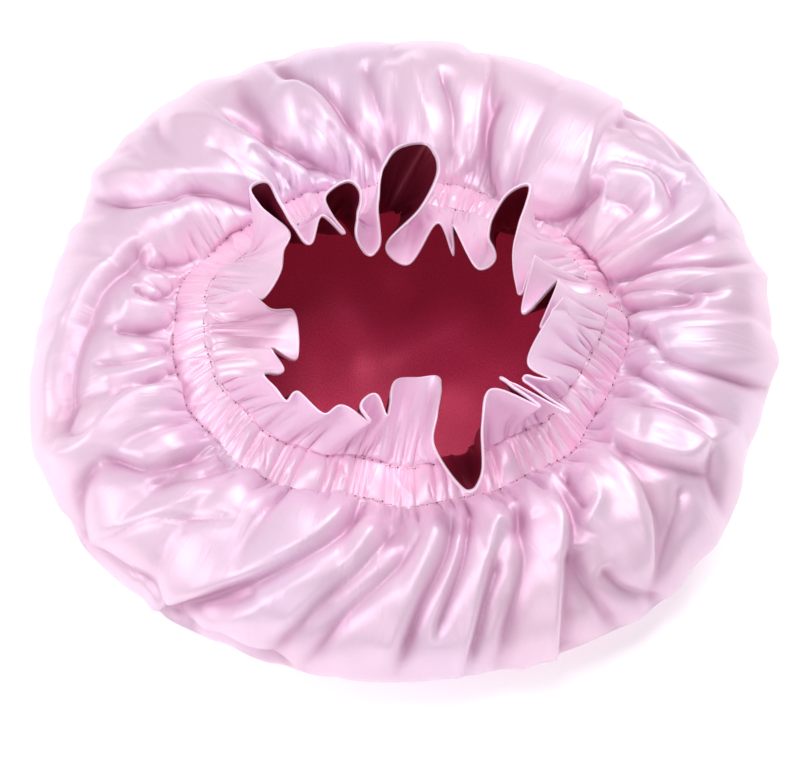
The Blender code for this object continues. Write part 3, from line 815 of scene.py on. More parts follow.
class ShaderGroups:
    """Node groups that several finishes share, each built once."""

    def __init__(self) -> None:
        """Build both groups."""
        self.tone = self.build_tone()
        self.weave = self.build_weave()

    @staticmethod
    def new_group(name: str, inputs: tuple, outputs: tuple) -> bpy.types.NodeTree:
        """Empty node group.

        Args:
            name: Its name.
            inputs: (name, socket type, default) of each input.
            outputs: (name, socket type) of each output.

        Returns:
            The group, with its input and output nodes called "in" and "out".
        """
        group = bpy.data.node_groups.new(name, "ShaderNodeTree")
        for label, kind, default in inputs:
            socket = group.interface.new_socket(label, in_out="INPUT", socket_type=kind)
            if default is not None:
                socket.default_value = default
        for label, kind in outputs:
            group.interface.new_socket(label, in_out="OUTPUT", socket_type=kind)
        group.nodes.new("NodeGroupInput").name = "in"
        group.nodes.new("NodeGroupOutput").name = "out"
        return group

    def build_tone(self) -> bpy.types.NodeTree:
        """Slow drift of a cloth's colour, and shade painted inside folds.

        Returns:
            The group, from place, colours, painted fold shade and drift to one colour.
        """
        group = self.new_group(
            "cloth_tone_and_painted_shade",
            (
                ("Vector", "NodeSocketVector", None),
                ("Colour", "NodeSocketColor", (0.8, 0.6, 0.7, 1)),
                ("Warm", "NodeSocketColor", (0.9, 0.7, 0.7, 1)),
                ("Cool", "NodeSocketColor", (0.7, 0.6, 0.8, 1)),
                ("PaintedShade", "NodeSocketColor", (0.8, 0.3, 0.5, 1)),
                ("Fold", "NodeSocketFloat", 0.0),
                ("Drift", "NodeSocketFloat", 0.5),
            ),
            (("Colour", "NodeSocketColor"),),
        )
        given = group.nodes["in"].outputs
        colour = given["Colour"]
        for label, scale, low in (("Warm", 16.0, 0.46), ("Cool", 11.0, 0.50)):
            shift = {0: given["Vector"], 1: (scale, 2 * scale, 0)}
            moved = add_node(group, "ShaderNodeVectorMath", shift, operation="ADD")
            cloud = {"Vector": moved.outputs[0], "Scale": scale, "Detail": 1.5}
            noise = add_node(group, "ShaderNodeTexNoise", cloud)
            limits = {"Value": noise.outputs["Fac"], "From Min": low, "From Max": low + 0.25}
            spread = add_node(group, "ShaderNodeMapRange", limits)
            parts = {0: spread.outputs[0], 1: given["Drift"]}
            amount = add_node(group, "ShaderNodeMath", parts, operation="MULTIPLY")
            blend = {"Factor": amount.outputs[0], COLOUR_A: colour, COLOUR_B: given[label]}
            colour = add_node(group, "ShaderNodeMix", blend, data_type="RGBA").outputs[COLOUR_OUT]
        # Mix towards the deep colour: painted shade inside folds and between pleats.
        blend = {"Factor": given["Fold"], COLOUR_A: colour, COLOUR_B: given["PaintedShade"]}
        deep = add_node(group, "ShaderNodeMix", blend, data_type="RGBA")
        group.links.new(deep.outputs[COLOUR_OUT], group.nodes["out"].inputs["Colour"])
        return group

    def build_weave(self) -> bpy.types.NodeTree:
        """Satin weave over a UV map in metres: fine floats across, with threads that vary.

        Returns:
            The group, from the cloth's UV to the height of its threads, their sparkle and its
            fine creases.
        """
        group = self.new_group(
            "satin_weave",
            (
                ("Cloth", "NodeSocketVector", None),
                ("Threads", "NodeSocketFloat", 2600.0),
                ("Stretch", "NodeSocketFloat", 6.0),
            ),
            (
                ("Height", "NodeSocketFloat"),
                ("Sparkle", "NodeSocketFloat"),
                ("Creases", "NodeSocketFloat"),
            ),
        )
        given = group.nodes["in"].outputs
        split = add_node(group, "ShaderNodeSeparateXYZ", {0: given["Cloth"]})
        parts = {0: split.outputs["X"], 1: given["Stretch"]}
        across = add_node(group, "ShaderNodeMath", parts, operation="MULTIPLY")
        parts = {"X": across.outputs[0], "Y": split.outputs["Y"]}
        joined = add_node(group, "ShaderNodeCombineXYZ", parts)
        parts = {0: given["Threads"], 1: 0.35}
        slow = add_node(group, "ShaderNodeMath", parts, operation="MULTIPLY")
        cloud = {"Vector": joined.outputs[0], "Scale": slow.outputs[0], "Detail": 2.0}
        noise = add_node(group, "ShaderNodeTexNoise", cloud)
        lines = {"Vector": given["Cloth"], "Scale": given["Threads"]}
        bands = add_node(group, "ShaderNodeTexWave", lines, bands_direction="DIAGONAL")
        parts = {0: given["Cloth"], 1: (150.0, 28.0, 1.0)}
        drawn = add_node(group, "ShaderNodeVectorMath", parts, operation="MULTIPLY")
        cloud = {"Vector": drawn.outputs[0], "Scale": 1.0, "Detail": 3.0, "Distortion": 0.6}
        ridged = {"noise_type": "RIDGED_MULTIFRACTAL"}
        creases = add_node(group, "ShaderNodeTexNoise", cloud, **ridged)
        blend = {"Factor": 0.6, VALUE_A: bands.outputs["Fac"], VALUE_B: noise.outputs["Fac"]}
        mean = add_node(group, "ShaderNodeMix", blend)
        out = group.nodes["out"].inputs
        group.links.new(mean.outputs[VALUE_OUT], out["Height"])
        group.links.new(noise.outputs["Fac"], out["Sparkle"])
        group.links.new(creases.outputs["Fac"], out["Creases"])
        return group


@dataclass(frozen=True)
class Satin:
    """Satin cloth of one colour, with painted shade in its folds and a painted glow."""

    name: str
    colour: tuple[float, float, float]
    warm: tuple[float, float, float]
    cool: tuple[float, float, float]
    # Colour painted as shade inside folds and between pleats.
    deep: tuple[float, float, float]
    drift: float = 0.5
    roughness: float = 0.30
    gloss: float = 0.55
    sheen: float = 0.10
    streak: float = 0.6
    lustre: float = 0.3
    crease_mm: float = 0.5
    grain: float = 0.03
    stretch: float = 6.0
    # Emission that lifts the shaded parts: painted light standing in for light bounced through the
    # cloth.
    painted_glow: tuple[float, float, float] = (0.0, 0.0, 0.0)
    threads: float = 2600.0
    bump_mm: float = 0.03

    def material(self, groups: ShaderGroups) -> bpy.types.Material:
        """Build the cloth's material.

        Args:
            groups: Shared node groups.

        Returns:
            The material.
        """
        made = bpy.data.materials.new(self.name)
        made.use_nodes = True
        tree = made.node_tree
        shader = tree.nodes["Principled BSDF"]
        for label, value in (
            ("Specular IOR Level", self.gloss),
            ("Sheen Weight", self.sheen),
            ("Sheen Roughness", 0.4),
            ("Anisotropic", self.streak),
            ("Metallic", self.lustre),
            # Painted glow: emission that lifts the shaded parts.
            ("Emission Color", (*self.painted_glow, 1.0)),
            ("Emission Strength", 1.0),
        ):
            shader.inputs[label].default_value = value
        place = add_node(tree, "ShaderNodeTexCoord")
        cloth = add_node(tree, "ShaderNodeUVMap", uv_map="cloth")
        # Per-vertex painted shade of folds and pleats, mixed towards the deep colour.
        fold = add_node(tree, "ShaderNodeAttribute", attribute_name="fold")
        shades = {
            "Colour": (*self.colour, 1.0),
            "Warm": (*self.warm, 1.0),
            "Cool": (*self.cool, 1.0),
            "PaintedShade": (*self.deep, 1.0),
            "Drift": self.drift,
            "Vector": place.outputs["Object"],
            "Fold": fold.outputs["Fac"],
        }
        tone = add_node(tree, "ShaderNodeGroup", shades, node_tree=groups.tone)
        laid = {"Cloth": cloth.outputs["UV"], "Threads": self.threads, "Stretch": self.stretch}
        weave = add_node(tree, "ShaderNodeGroup", laid, node_tree=groups.weave)
        limits = {
            "Value": weave.outputs["Sparkle"],
            "From Min": 0.35,
            "From Max": 0.65,
            "To Min": 1.0 - self.grain,
            "To Max": 1.0 + self.grain,
        }
        speck = add_node(tree, "ShaderNodeMapRange", limits)
        parts = {0: tone.outputs["Colour"], "Scale": speck.outputs[0]}
        grained = add_node(tree, "ShaderNodeVectorMath", parts, operation="SCALE")
        limits = {
            "Value": weave.outputs["Sparkle"],
            "From Min": 0.3,
            "From Max": 0.7,
            "To Min": self.roughness - 0.06,
            "To Max": self.roughness + 0.08,
        }
        rough = add_node(tree, "ShaderNodeMapRange", limits)
        relief = {
            "Strength": 0.5,
            "Distance": self.crease_mm * 0.001,
            "Height": weave.outputs["Creases"],
        }
        creases = add_node(tree, "ShaderNodeBump", relief)
        relief = {
            "Strength": 0.35,
            "Distance": self.bump_mm * 0.001,
            "Height": weave.outputs["Height"],
            "Normal": creases.outputs["Normal"],
        }
        bump = add_node(tree, "ShaderNodeBump", relief)
        along = add_node(tree, "ShaderNodeTangent", direction_type="UV_MAP", uv_map="cloth")
        tree.links.new(grained.outputs[0], shader.inputs["Base Color"])
        tree.links.new(rough.outputs[0], shader.inputs["Roughness"])
        tree.links.new(bump.outputs["Normal"], shader.inputs["Normal"])
        tree.links.new(along.outputs["Tangent"], shader.inputs["Tangent"])
        return made


@dataclass(frozen=True)
class PlainThread:
    """Twisted thread or ribbed elastic: one colour, with ribs along the piece."""

    name: str
    colour: tuple[float, float, float]
    ribs_per_metre: float
    roughness: float = 0.6

    def material(self) -> bpy.types.Material:
        """Build the material.

        Returns:
            The material.
        """
        made = bpy.data.materials.new(self.name)
        made.use_nodes = True
        tree = made.node_tree
        shader = tree.nodes["Principled BSDF"]
        place = add_node(tree, "ShaderNodeTexCoord")
        waves = {"Vector": place.outputs["Object"], "Scale": self.ribs_per_metre, "Distortion": 2.0}
        ribs = add_node(tree, "ShaderNodeTexWave", waves, wave_type="RINGS", rings_direction="Z")
        # Grooves between the ribs are painted darker as shade.
        groove_shade = (*[0.75 * c for c in self.colour], 1.0)
        blend = {"Factor": ribs.outputs["Fac"], COLOUR_A: groove_shade, COLOUR_B: (*self.colour, 1.0)}
        shade = add_node(tree, "ShaderNodeMix", blend, data_type="RGBA")
        limits = {
            "Value": ribs.outputs["Fac"],
            "To Min": self.roughness - 0.1,
            "To Max": self.roughness + 0.1,
        }
        rough = add_node(tree, "ShaderNodeMapRange", limits)
        relief = {"Strength": 0.4, "Distance": 0.0002, "Height": ribs.outputs["Fac"]}
        bump = add_node(tree, "ShaderNodeBump", relief)
        tree.links.new(shade.outputs[COLOUR_OUT], shader.inputs["Base Color"])
        tree.links.new(rough.outputs[0], shader.inputs["Roughness"])
        tree.links.new(bump.outputs["Normal"], shader.inputs["Normal"])
        return made


class Finishes:
    """All the materials of the bonnet."""

    def __init__(self) -> None:
        """Build them from the shared groups."""
        groups = ShaderGroups()
        pink = Satin(
            "pink_satin",
            colour=(0.87, 0.635, 0.80),
            warm=(0.94, 0.66, 0.80),
            cool=(0.81, 0.64, 0.84),
            # Mauve painted shade for the crown's folds.
            deep=(0.60, 0.32, 0.49),
            # Faint pink painted glow that lifts the crown's shaded parts.
            painted_glow=(0.02, 0.009, 0.015),
            roughness=0.41,
            gloss=0.5,
            sheen=0.3,
        )
        self.pink = pink.material(groups)
        gathered = Satin(
            "pink_satin_gathered",
            colour=(0.92, 0.67, 0.83),
            warm=(0.95, 0.66, 0.80),
            cool=(0.90, 0.70, 0.87),
            # Saturated pink painted shade for the casing's pleats and creases, standing in for
            # light bounced between them.
            deep=(0.96, 0.40, 0.64),
            # Pink painted glow that lifts the casing's shaded parts.
            painted_glow=(0.07, 0.028, 0.048),
            roughness=0.38,
            gloss=0.7,
            sheen=0.3,
        )
        self.gathered = gathered.material(groups)
        ruffled = replace(
            gathered,
            name="pink_satin_ruffled",
            colour=(0.90, 0.655, 0.82),
            warm=(0.94, 0.66, 0.80),
            cool=(0.86, 0.67, 0.85),
            # Pink painted shade between the ruffle's pleats.
            deep=(0.88, 0.40, 0.62),
            # Pink painted glow that lifts the ruffle's shaded parts.
            painted_glow=(0.05, 0.020, 0.035),
        )
        self.ruffled = ruffled.material(groups)
        burgundy = Satin(
            "burgundy_satin",
            colour=(0.165, 0.008, 0.028),
            warm=(0.26, 0.013, 0.037),
            cool=(0.16, 0.009, 0.034),
            # Near-black painted shade for the lining's folds and pleats.
            deep=(0.07, 0.003, 0.010),
            roughness=0.36,
            gloss=0.5,
            sheen=0.0,
            bump_mm=0.05,
        )
        self.burgundy = burgundy.material(groups)
        # Copy of the burgundy satin painted several times brighter: painted light on the floor seen
        # through the mouth, where less light reaches.
        floor = replace(
            burgundy,
            name="burgundy_satin_painted_lit",
            colour=(0.78, 0.036, 0.126),
            warm=(0.86, 0.040, 0.13),
            cool=(0.64, 0.030, 0.115),
            roughness=0.36,
            sheen=0.1,
            bump_mm=0.06,
            crease_mm=0.1,
            grain=0.17,
            stretch=1.6,
            # Red painted glow that lifts the floor's shaded corners.
            painted_glow=(0.05, 0.004, 0.011),
        )
        self.floor = floor.material(groups)
        self.thread = PlainThread("stitch_thread", (0.90, 0.56, 0.70), 900.0).material()
        # Dark purple-brown for the needle holes: painted shade inside each hole.
        self.hole_shade = PlainThread("needle_hole_shade", (0.26, 0.07, 0.12), 900.0, 0.8).material()
        self.elastic = PlainThread("woven_elastic", (0.80, 0.78, 0.76), 320.0, 0.8).material()


def dress(
    piece: bpy.types.Object,
    material: bpy.types.Material,
    node: str | None = None,
) -> bpy.types.Object:
    """Give a piece its material and its place in the frame.

    Args:
        piece: The finished piece.
        material: Its material.
        node: CAD node that it stands for, if any.

    Returns:
        The same piece.
    """
    piece.data.materials.clear()
    piece.data.materials.append(material)
    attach(piece, "root")
    if node:
        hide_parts(node)
    LOG.info("%s: %d faces", piece.name, len(piece.data.polygons))
    return piece


@dataclass
class Crown:
    """Puffed pink crown, from the outer stitch row over the rim to the base it lies on."""

    shape: BonnetShape
    camera: PhotoCamera
    columns: int = 820
    top_rows: int = 90
    under_rows: int = 17
    base_rows: int = 9
    folds: int = 110
    wrinkles: int = 46
    clearance: float = 0.0003
    flat_radius: float = 0.290
    coarse: int = 2
    frames: int = 20
    pressure: float = 4.0
    most_moved: float = 0.004

    def places(self) -> np.ndarray:
        """Rows of the grid, closest together where the cloth is gathered."""
        top = np.linspace(0, 1, self.top_rows) ** 1.25
        under = np.linspace(1, 2, self.under_rows + 1)[1:]
        return np.concatenate([top, under, np.linspace(2, 3, self.base_rows + 1)[1:]])

    def gather_relief(self, angle: np.ndarray, place: np.ndarray) -> np.ndarray:
        """Pleats that leave the stitch row and run together as they go out.

        Args:
            angle: Angles in radians.
            place: As in BonnetShape.crown_mean.

        Returns:
            Metres along the normals.
        """
        gathers = self.shape.gathers
        drift = 0.05 * np.sin(3 * angle + 1.0) * place
        fine = (gathers.pleats(angle + drift) - 0.7) * 0.0022 * ease(place / 0.05)
        fine = fine * (1 - ease((place - 0.04) / 0.16))
        middle = (gathers.pleats(angle + drift, 3) - 0.7) * 0.0042 * ease(place / 0.12)
        middle = middle * (1 - ease((place - 0.12) / 0.5))
        broad = (gathers.pleats(angle + drift, 6, 0.8) - 0.5) * 0.0055 * ease(place / 0.25)
        broad = broad * (1 - ease((place - 0.3) / 0.9))
        return fine + middle + broad

    def loose_folds(self, angle: np.ndarray, place: np.ndarray) -> np.ndarray:
        """Many small folds that run outwards, each with one steep and one gentle side.

        Args:
            angle: Angles in radians.
            place: As in BonnetShape.crown_mean.

        Returns:
            Metres along the normals.
        """
        chance = np.random.default_rng(17)
        total = np.zeros(angle.shape)
        for _ in range(self.folds):
            middle = chance.uniform(0, 2 * np.pi)
            start = chance.uniform(0.0, 1.0)
            end = start + chance.uniform(0.15, 0.65)
            width = chance.uniform(0.010, 0.034) * (0.6 + start)
            lean = chance.uniform(-0.3, 0.3)
            bend = chance.uniform(-0.25, 0.25)
            height = chance.uniform(0.0003, 0.0011) * chance.choice([-1.0, 1.0])
            skew = chance.uniform(0.35, 1.0)
            run = place - start
            off = wrapped(angle - middle - lean * run - bend * run * run)
            near = (np.abs(off) < 5 * width) & (place > start - 0.05) & (place < end + 0.05)
            reach = np.abs(off[near]) / np.where(off[near] > 0, width, width * skew)
            span = ease((place[near] - start) / 0.12) * ease((end - place[near]) / 0.2)
            total[near] += height * span * np.exp(-1.4 * (np.hypot(reach, 0.15) - 0.15))
        return total * ease(place / 0.05)

    def rim_relief(self, angle: np.ndarray, place: np.ndarray) -> np.ndarray:
        """Soft wrinkles over and under the rim, where the cloth meets what it lies on.

        Args:
            angle: Angles in radians.
            place: As in BonnetShape.crown_mean.

        Returns:
            Metres along the normals.
        """
        chance = np.random.default_rng(5)
        total = np.zeros(angle.shape)
        for _ in range(self.wrinkles):
            middle = chance.uniform(0, 2 * np.pi)
            level = chance.uniform(0.85, 1.5)
            width = chance.uniform(0.018, 0.05)
            lean = chance.uniform(-0.12, 0.12)
            height = chance.choice([-1, 1]) * chance.uniform(0.0008, 0.0026)
            off = wrapped(angle - middle - lean * (place - level))
            total += height * np.exp(-((off / width) ** 2) - ((place - level) / 0.35) ** 2)
        return total * (1 - ease((place - 1.5) / 0.4))

    def points(self) -> tuple[np.ndarray, np.ndarray, np.ndarray]:
        """Surface of the crown before it settles.

        Returns:
            Its points, its normals and the shade painted into its folds, from 0 to 1.
        """
        turn = turns(self.columns)
        angle, place = np.meshgrid(turn, self.places())
        mean = self.shape.crown_mean(angle, place)
        outward = np.concatenate([mean[..., :2], (mean[..., 2:] - 0.02) * 2], -1)
        normals = grid_normals(mean, outward)
        normals[place > 2] = -UP
        strokes = FoldLines(self.camera, CROWN_FOLDS).relief(mean, normals)
        strokes = strokes * ease(place / 0.035)
        little = self.gather_relief(angle, place) + self.rim_relief(angle, place)
        little = little + self.loose_folds(angle, place)
        soft = np.stack([round_off(row[:, None], 4)[:, 0] for row in little])
        relief = 1.15 * strokes + little + (soft - little) * ease((place - 0.06) / 0.2)
        relief = np.maximum(relief, -0.0006 - 0.05 * place)
        relief = np.where(relief < 0, relief / (1 - relief / 0.02), relief / (1 + relief / 0.03))
        points = mean + normals * relief[..., None]
        points[..., 2] = np.maximum(points[..., 2], self.clearance)
        # Painted shade: darker where the cloth lies below its neighbours, along the valleys of the
        # fold lines and between the pleats at the stitch row.
        around = np.stack([round_off(row[:, None], 22)[:, 0] for row in relief])
        fold = np.clip((around - relief) / 0.005 - 0.1, 0, 1) * 0.65
        fold = fold + np.clip(-strokes / 0.012, 0, 0.45)
        fold = fold + 0.5 * (1 - ease(place / 0.09)) * (1 - ease(self.shape.gathers.pleats(angle)))
        return points, grid_normals(points, outward), np.clip(fold, 0, 1)

    def spare(self, place: np.ndarray) -> np.ndarray:
        """How much longer the cloth is round the bonnet than the mean surface, by place."""
        return np.interp(place, (0, 0.1, 0.3, 0.6, 0.9, 1.1, 3), (1.6, 1.6, 1.45, 1.25, 1.08, 1, 1))

    def rest_shape(self, mean: np.ndarray, place: np.ndarray) -> np.ndarray:
        """Unstrained cloth as a surface of revolution with the spare length in its rings.

        Args:
            mean: Mean surface, rows by columns by three.
            place: Place of each row.

        Returns:
            The same grid at its unstrained size.
        """
        columns = mean.shape[1]
        rings = np.linalg.norm(np.roll(mean, -1, axis=1) - mean, axis=-1).sum(1)
        radius = rings / (2 * np.pi) * self.spare(place)
        run = np.linalg.norm(np.diff(mean, axis=0), axis=-1).mean(1) * 1.02
        rise = np.sqrt(np.maximum(run**2 - np.diff(radius) ** 2, (0.15 * run) ** 2))
        height = np.concatenate([[0], np.cumsum(rise)])
        turn = turns(columns)
        return np.stack(
            [
                radius[:, None] * np.cos(turn),
                radius[:, None] * np.sin(turn),
                np.broadcast_to(-height[:, None], mean.shape[:2]),
            ],
            -1,
        )

    def settle(self, points: np.ndarray, outward: np.ndarray) -> np.ndarray:
        """Let the cloth puff out between its sewn ends by cloth simulation.

        Args:
            points: Surface with the folds read off the photograph.
            outward: Its normals.

        Returns:
            How far each point moves, at most most_moved.
        """
        pick = np.r_[0 : len(points) - 11 : 2, len(points) - 10]
        place = self.places()[pick]
        turn = turns(self.columns)
        mean = self.shape.crown_mean(*np.meshgrid(turn, place))[:, :: self.coarse]
        start = points[pick][:, :: self.coarse]
        side = outward[pick][:, :: self.coarse]
        cloth = ring_of_cloth("crown_settling", start, side, (1.0, 1.0))
        found = vertex_places(cloth.data)
        order = nearest_rows(found, start)
        rest = self.rest_shape(mean, place).reshape(-1, 3)
        cloth.shape_key_add(name="worn")
        key = cloth.shape_key_add(name="cut")
        key.data.foreach_set("co", rest[order].ravel())
        hold = cloth.vertex_groups.new(name="hold")
        weight = np.interp(place, (0, 0.004, 0.02, 0.5, 1.0, 1.6, 1.9), (1, 1, 0, 0, 0, 0.7, 1))
        for k, row in enumerate(order // start.shape[1]):
            hold.add([k], float(weight[row]), "REPLACE")
        change = cloth.modifiers.new("settle", "CLOTH")
        settings = change.settings
        for label, value in (
            ("quality", 5),
            ("mass", 0.15),
            ("tension_stiffness", 15),
            ("compression_stiffness", 15),
            ("shear_stiffness", 5),
            ("bending_stiffness", 0.08),
            ("use_pressure", True),
            ("uniform_pressure_force", self.pressure),
            ("vertex_group_mass", "hold"),
            ("rest_shape_key", key),
        ):
            setattr(settings, label, value)
        settings.effector_weights.gravity = 0.0
        change.collision_settings.use_collision = False
        change.point_cache.frame_end = self.frames
        for frame in range(1, self.frames + 1):
            bpy.context.scene.frame_set(frame)
        graph = bpy.context.evaluated_depsgraph_get()
        moved = np.zeros((start.shape[0] * start.shape[1], 3))
        moved[order] = vertex_places(cloth.evaluated_get(graph).to_mesh()) - found
        moved = moved.reshape(start.shape)
        bpy.data.objects.remove(cloth, do_unlink=True)
        bpy.context.scene.frame_set(1)
        size = np.linalg.norm(moved, axis=-1, keepdims=True)
        mean_mm, most_mm = size.mean() * 1e3, size.max() * 1e3
        LOG.info("crown settled by %.1f mm on average, %.1f at most", mean_mm, most_mm)
        moved = moved * np.minimum(1, self.most_moved / np.maximum(size, 1e-9))
        return self.spread_out(moved, pick)

    def spread_out(self, moved: np.ndarray, pick: np.ndarray) -> np.ndarray:
        """Carry the movement of the coarse grid smoothly to every point of the fine one.

        Args:
            moved: Movement of each coarse point.
            pick: Rows of the fine grid that the coarse one has.

        Returns:
            Movement of each fine point.
        """
        columns = self.columns
        around = np.arange(columns) / self.coarse
        index = np.floor(around).astype(int)
        part = (around - index)[None, :, None]
        count = moved.shape[1]
        across = between(*(moved[:, (index + k) % count] for k in (-1, 0, 1, 2)), part)
        full = np.zeros((len(self.places()), columns, 3))
        upper = np.arange(pick[-1] + 1)
        for k in range(3):
            for j in range(columns):
                full[upper, j, k] = np.interp(upper, pick, across[:, j, k])
        return full

    def build(self, finishes: Finishes) -> bpy.types.Object:
        """Build and dress the crown.

        Args:
            finishes: The bonnet's materials.

        Returns:
            The finished piece.
        """
        points, normals, fold = self.points()
        points = points + self.settle(points, normals)
        points[..., 2] = np.maximum(points[..., 2], self.clearance)
        points[-1] = points[-1].mean(axis=0)
        flat = (2 * np.pi * self.flat_radius, self.flat_radius)
        # fold carries the painted shade of the crown's folds.
        piece = ring_of_cloth("crown_cloth", points, normals, flat, {"fold": fold})
        dress(piece, finishes.pink, "crown_shell")
        return piece


@dataclass
class CrownFloor:
    """Burgundy lining of the crown, with the floor that shows through the mouth."""

    shape: BonnetShape
    camera: PhotoCamera
    columns: int = 360
    rows: int = 130
    swells: int = 26
    flat_radius: float = 0.245

    def points(self) -> tuple[np.ndarray, np.ndarray, np.ndarray]:
        """Surface of the lining.

        Returns:
            Its points, its normals into the hollow and the shade painted into its pleats.
        """
        turn = turns(self.columns)
        angle, place = np.meshgrid(turn, np.linspace(0, 1, self.rows))
        start = self.shape.casing_point(angle, 0 * angle, -self.shape.lining_drop + 0 * angle)
        rim = self.shape.rim(angle)
        level = (0.0, 0.12, 0.26, 0.40, 0.54, 0.66, 0.78, 0.88, 1.0)
        spread = np.interp(place, level, (0, 0.10, 0.34, 0.58, 0.72, 0.70, 0.50, 0.20, -0.3))
        height = np.interp(place, level, (1, 0.92, 0.84, 0.72, 0.48, 0.24, 0.12, 0.09, 0.08))
        plan = start[..., :2] + (rim - start[..., :2]) * spread[..., None]
        closing = 1 - ease((place - 0.86) / 0.14)
        plan = plan * closing[..., None]
        lift = height * start[..., 2]
        lift = lift + (lift.mean(axis=1, keepdims=True) - lift) * ease((place - 0.6) / 0.2)
        points = np.concatenate([plan, lift[..., None]], -1)
        kernel = np.hanning(13)
        kernel = kernel / kernel.sum()
        for k in range(3):
            padded = np.pad(points[..., k], ((6, 6), (0, 0)), mode="reflect", reflect_type="odd")
            points[..., k] = np.apply_along_axis(np.convolve, 0, padded, kernel, "valid")
        inward = np.concatenate([-points[..., :2], 0.04 - points[..., 2:]], -1)
        inward[..., 2] = np.where(place > 0.75, 1.0, inward[..., 2])
        normals = grid_normals(points, inward)
        normals[place > 0.93] = UP
        gathers = self.shape.gathers
        folds = gathers.pleats(angle, 3) * 0.002 * ease(place / 0.06)
        folds = folds * (1 - ease((place - 0.1) / 0.25))
        broad = gathers.pleats(angle + 0.2 * place, 6, 0.8) * 0.004 * ease((place - 0.1) / 0.3)
        folds += broad * (1 - ease((place - 0.55) / 0.2))
        swell = FoldLines(self.camera, FLOOR_SWELLS).relief(points, normals)
        chance = np.random.default_rng(12)
        for _ in range(self.swells):
            x, y = chance.uniform(-0.11, 0.11, 2)
            size = chance.uniform(0.012, 0.03)
            away = ((points[..., 0] - x) ** 2 + (points[..., 1] - y) ** 2) / size**2
            swell += chance.uniform(-0.0009, 0.0009) * np.exp(-away)
        swell = swell * ease((place - 0.7) / 0.1)
        points = points + normals * (swell - folds * 0.7)[..., None]
        points[..., 2] = np.maximum(points[..., 2], 0.0018)
        # The third value is shade painted into the pleats, deepest where they are pressed in most.
        return points, grid_normals(points, inward), np.clip(folds / 0.006, 0, 0.6)

    @staticmethod
    def lay_flat(piece: bpy.types.Object) -> None:
        """Weave that runs straight across the floor instead of round its middle."""
        set_uv(piece.data, vertex_places(piece.data)[:, :2])

    def build(self, finishes: Finishes) -> bpy.types.Object:
        """Build and dress the lining.

        Args:
            finishes: The bonnet's materials.

        Returns:
            The finished piece.
        """
        points, normals, fold = self.points()
        points[-1] = points[-1].mean(axis=0)
        flat = (2 * np.pi * self.flat_radius, self.flat_radius)
        piece = ring_of_cloth("crown_floor", points, normals, flat, {"fold": fold})
        self.lay_flat(piece)
        # The floor gets the brightened copy of the burgundy satin: painted light.
        dress(piece, finishes.floor, "crown_lining")
        return piece


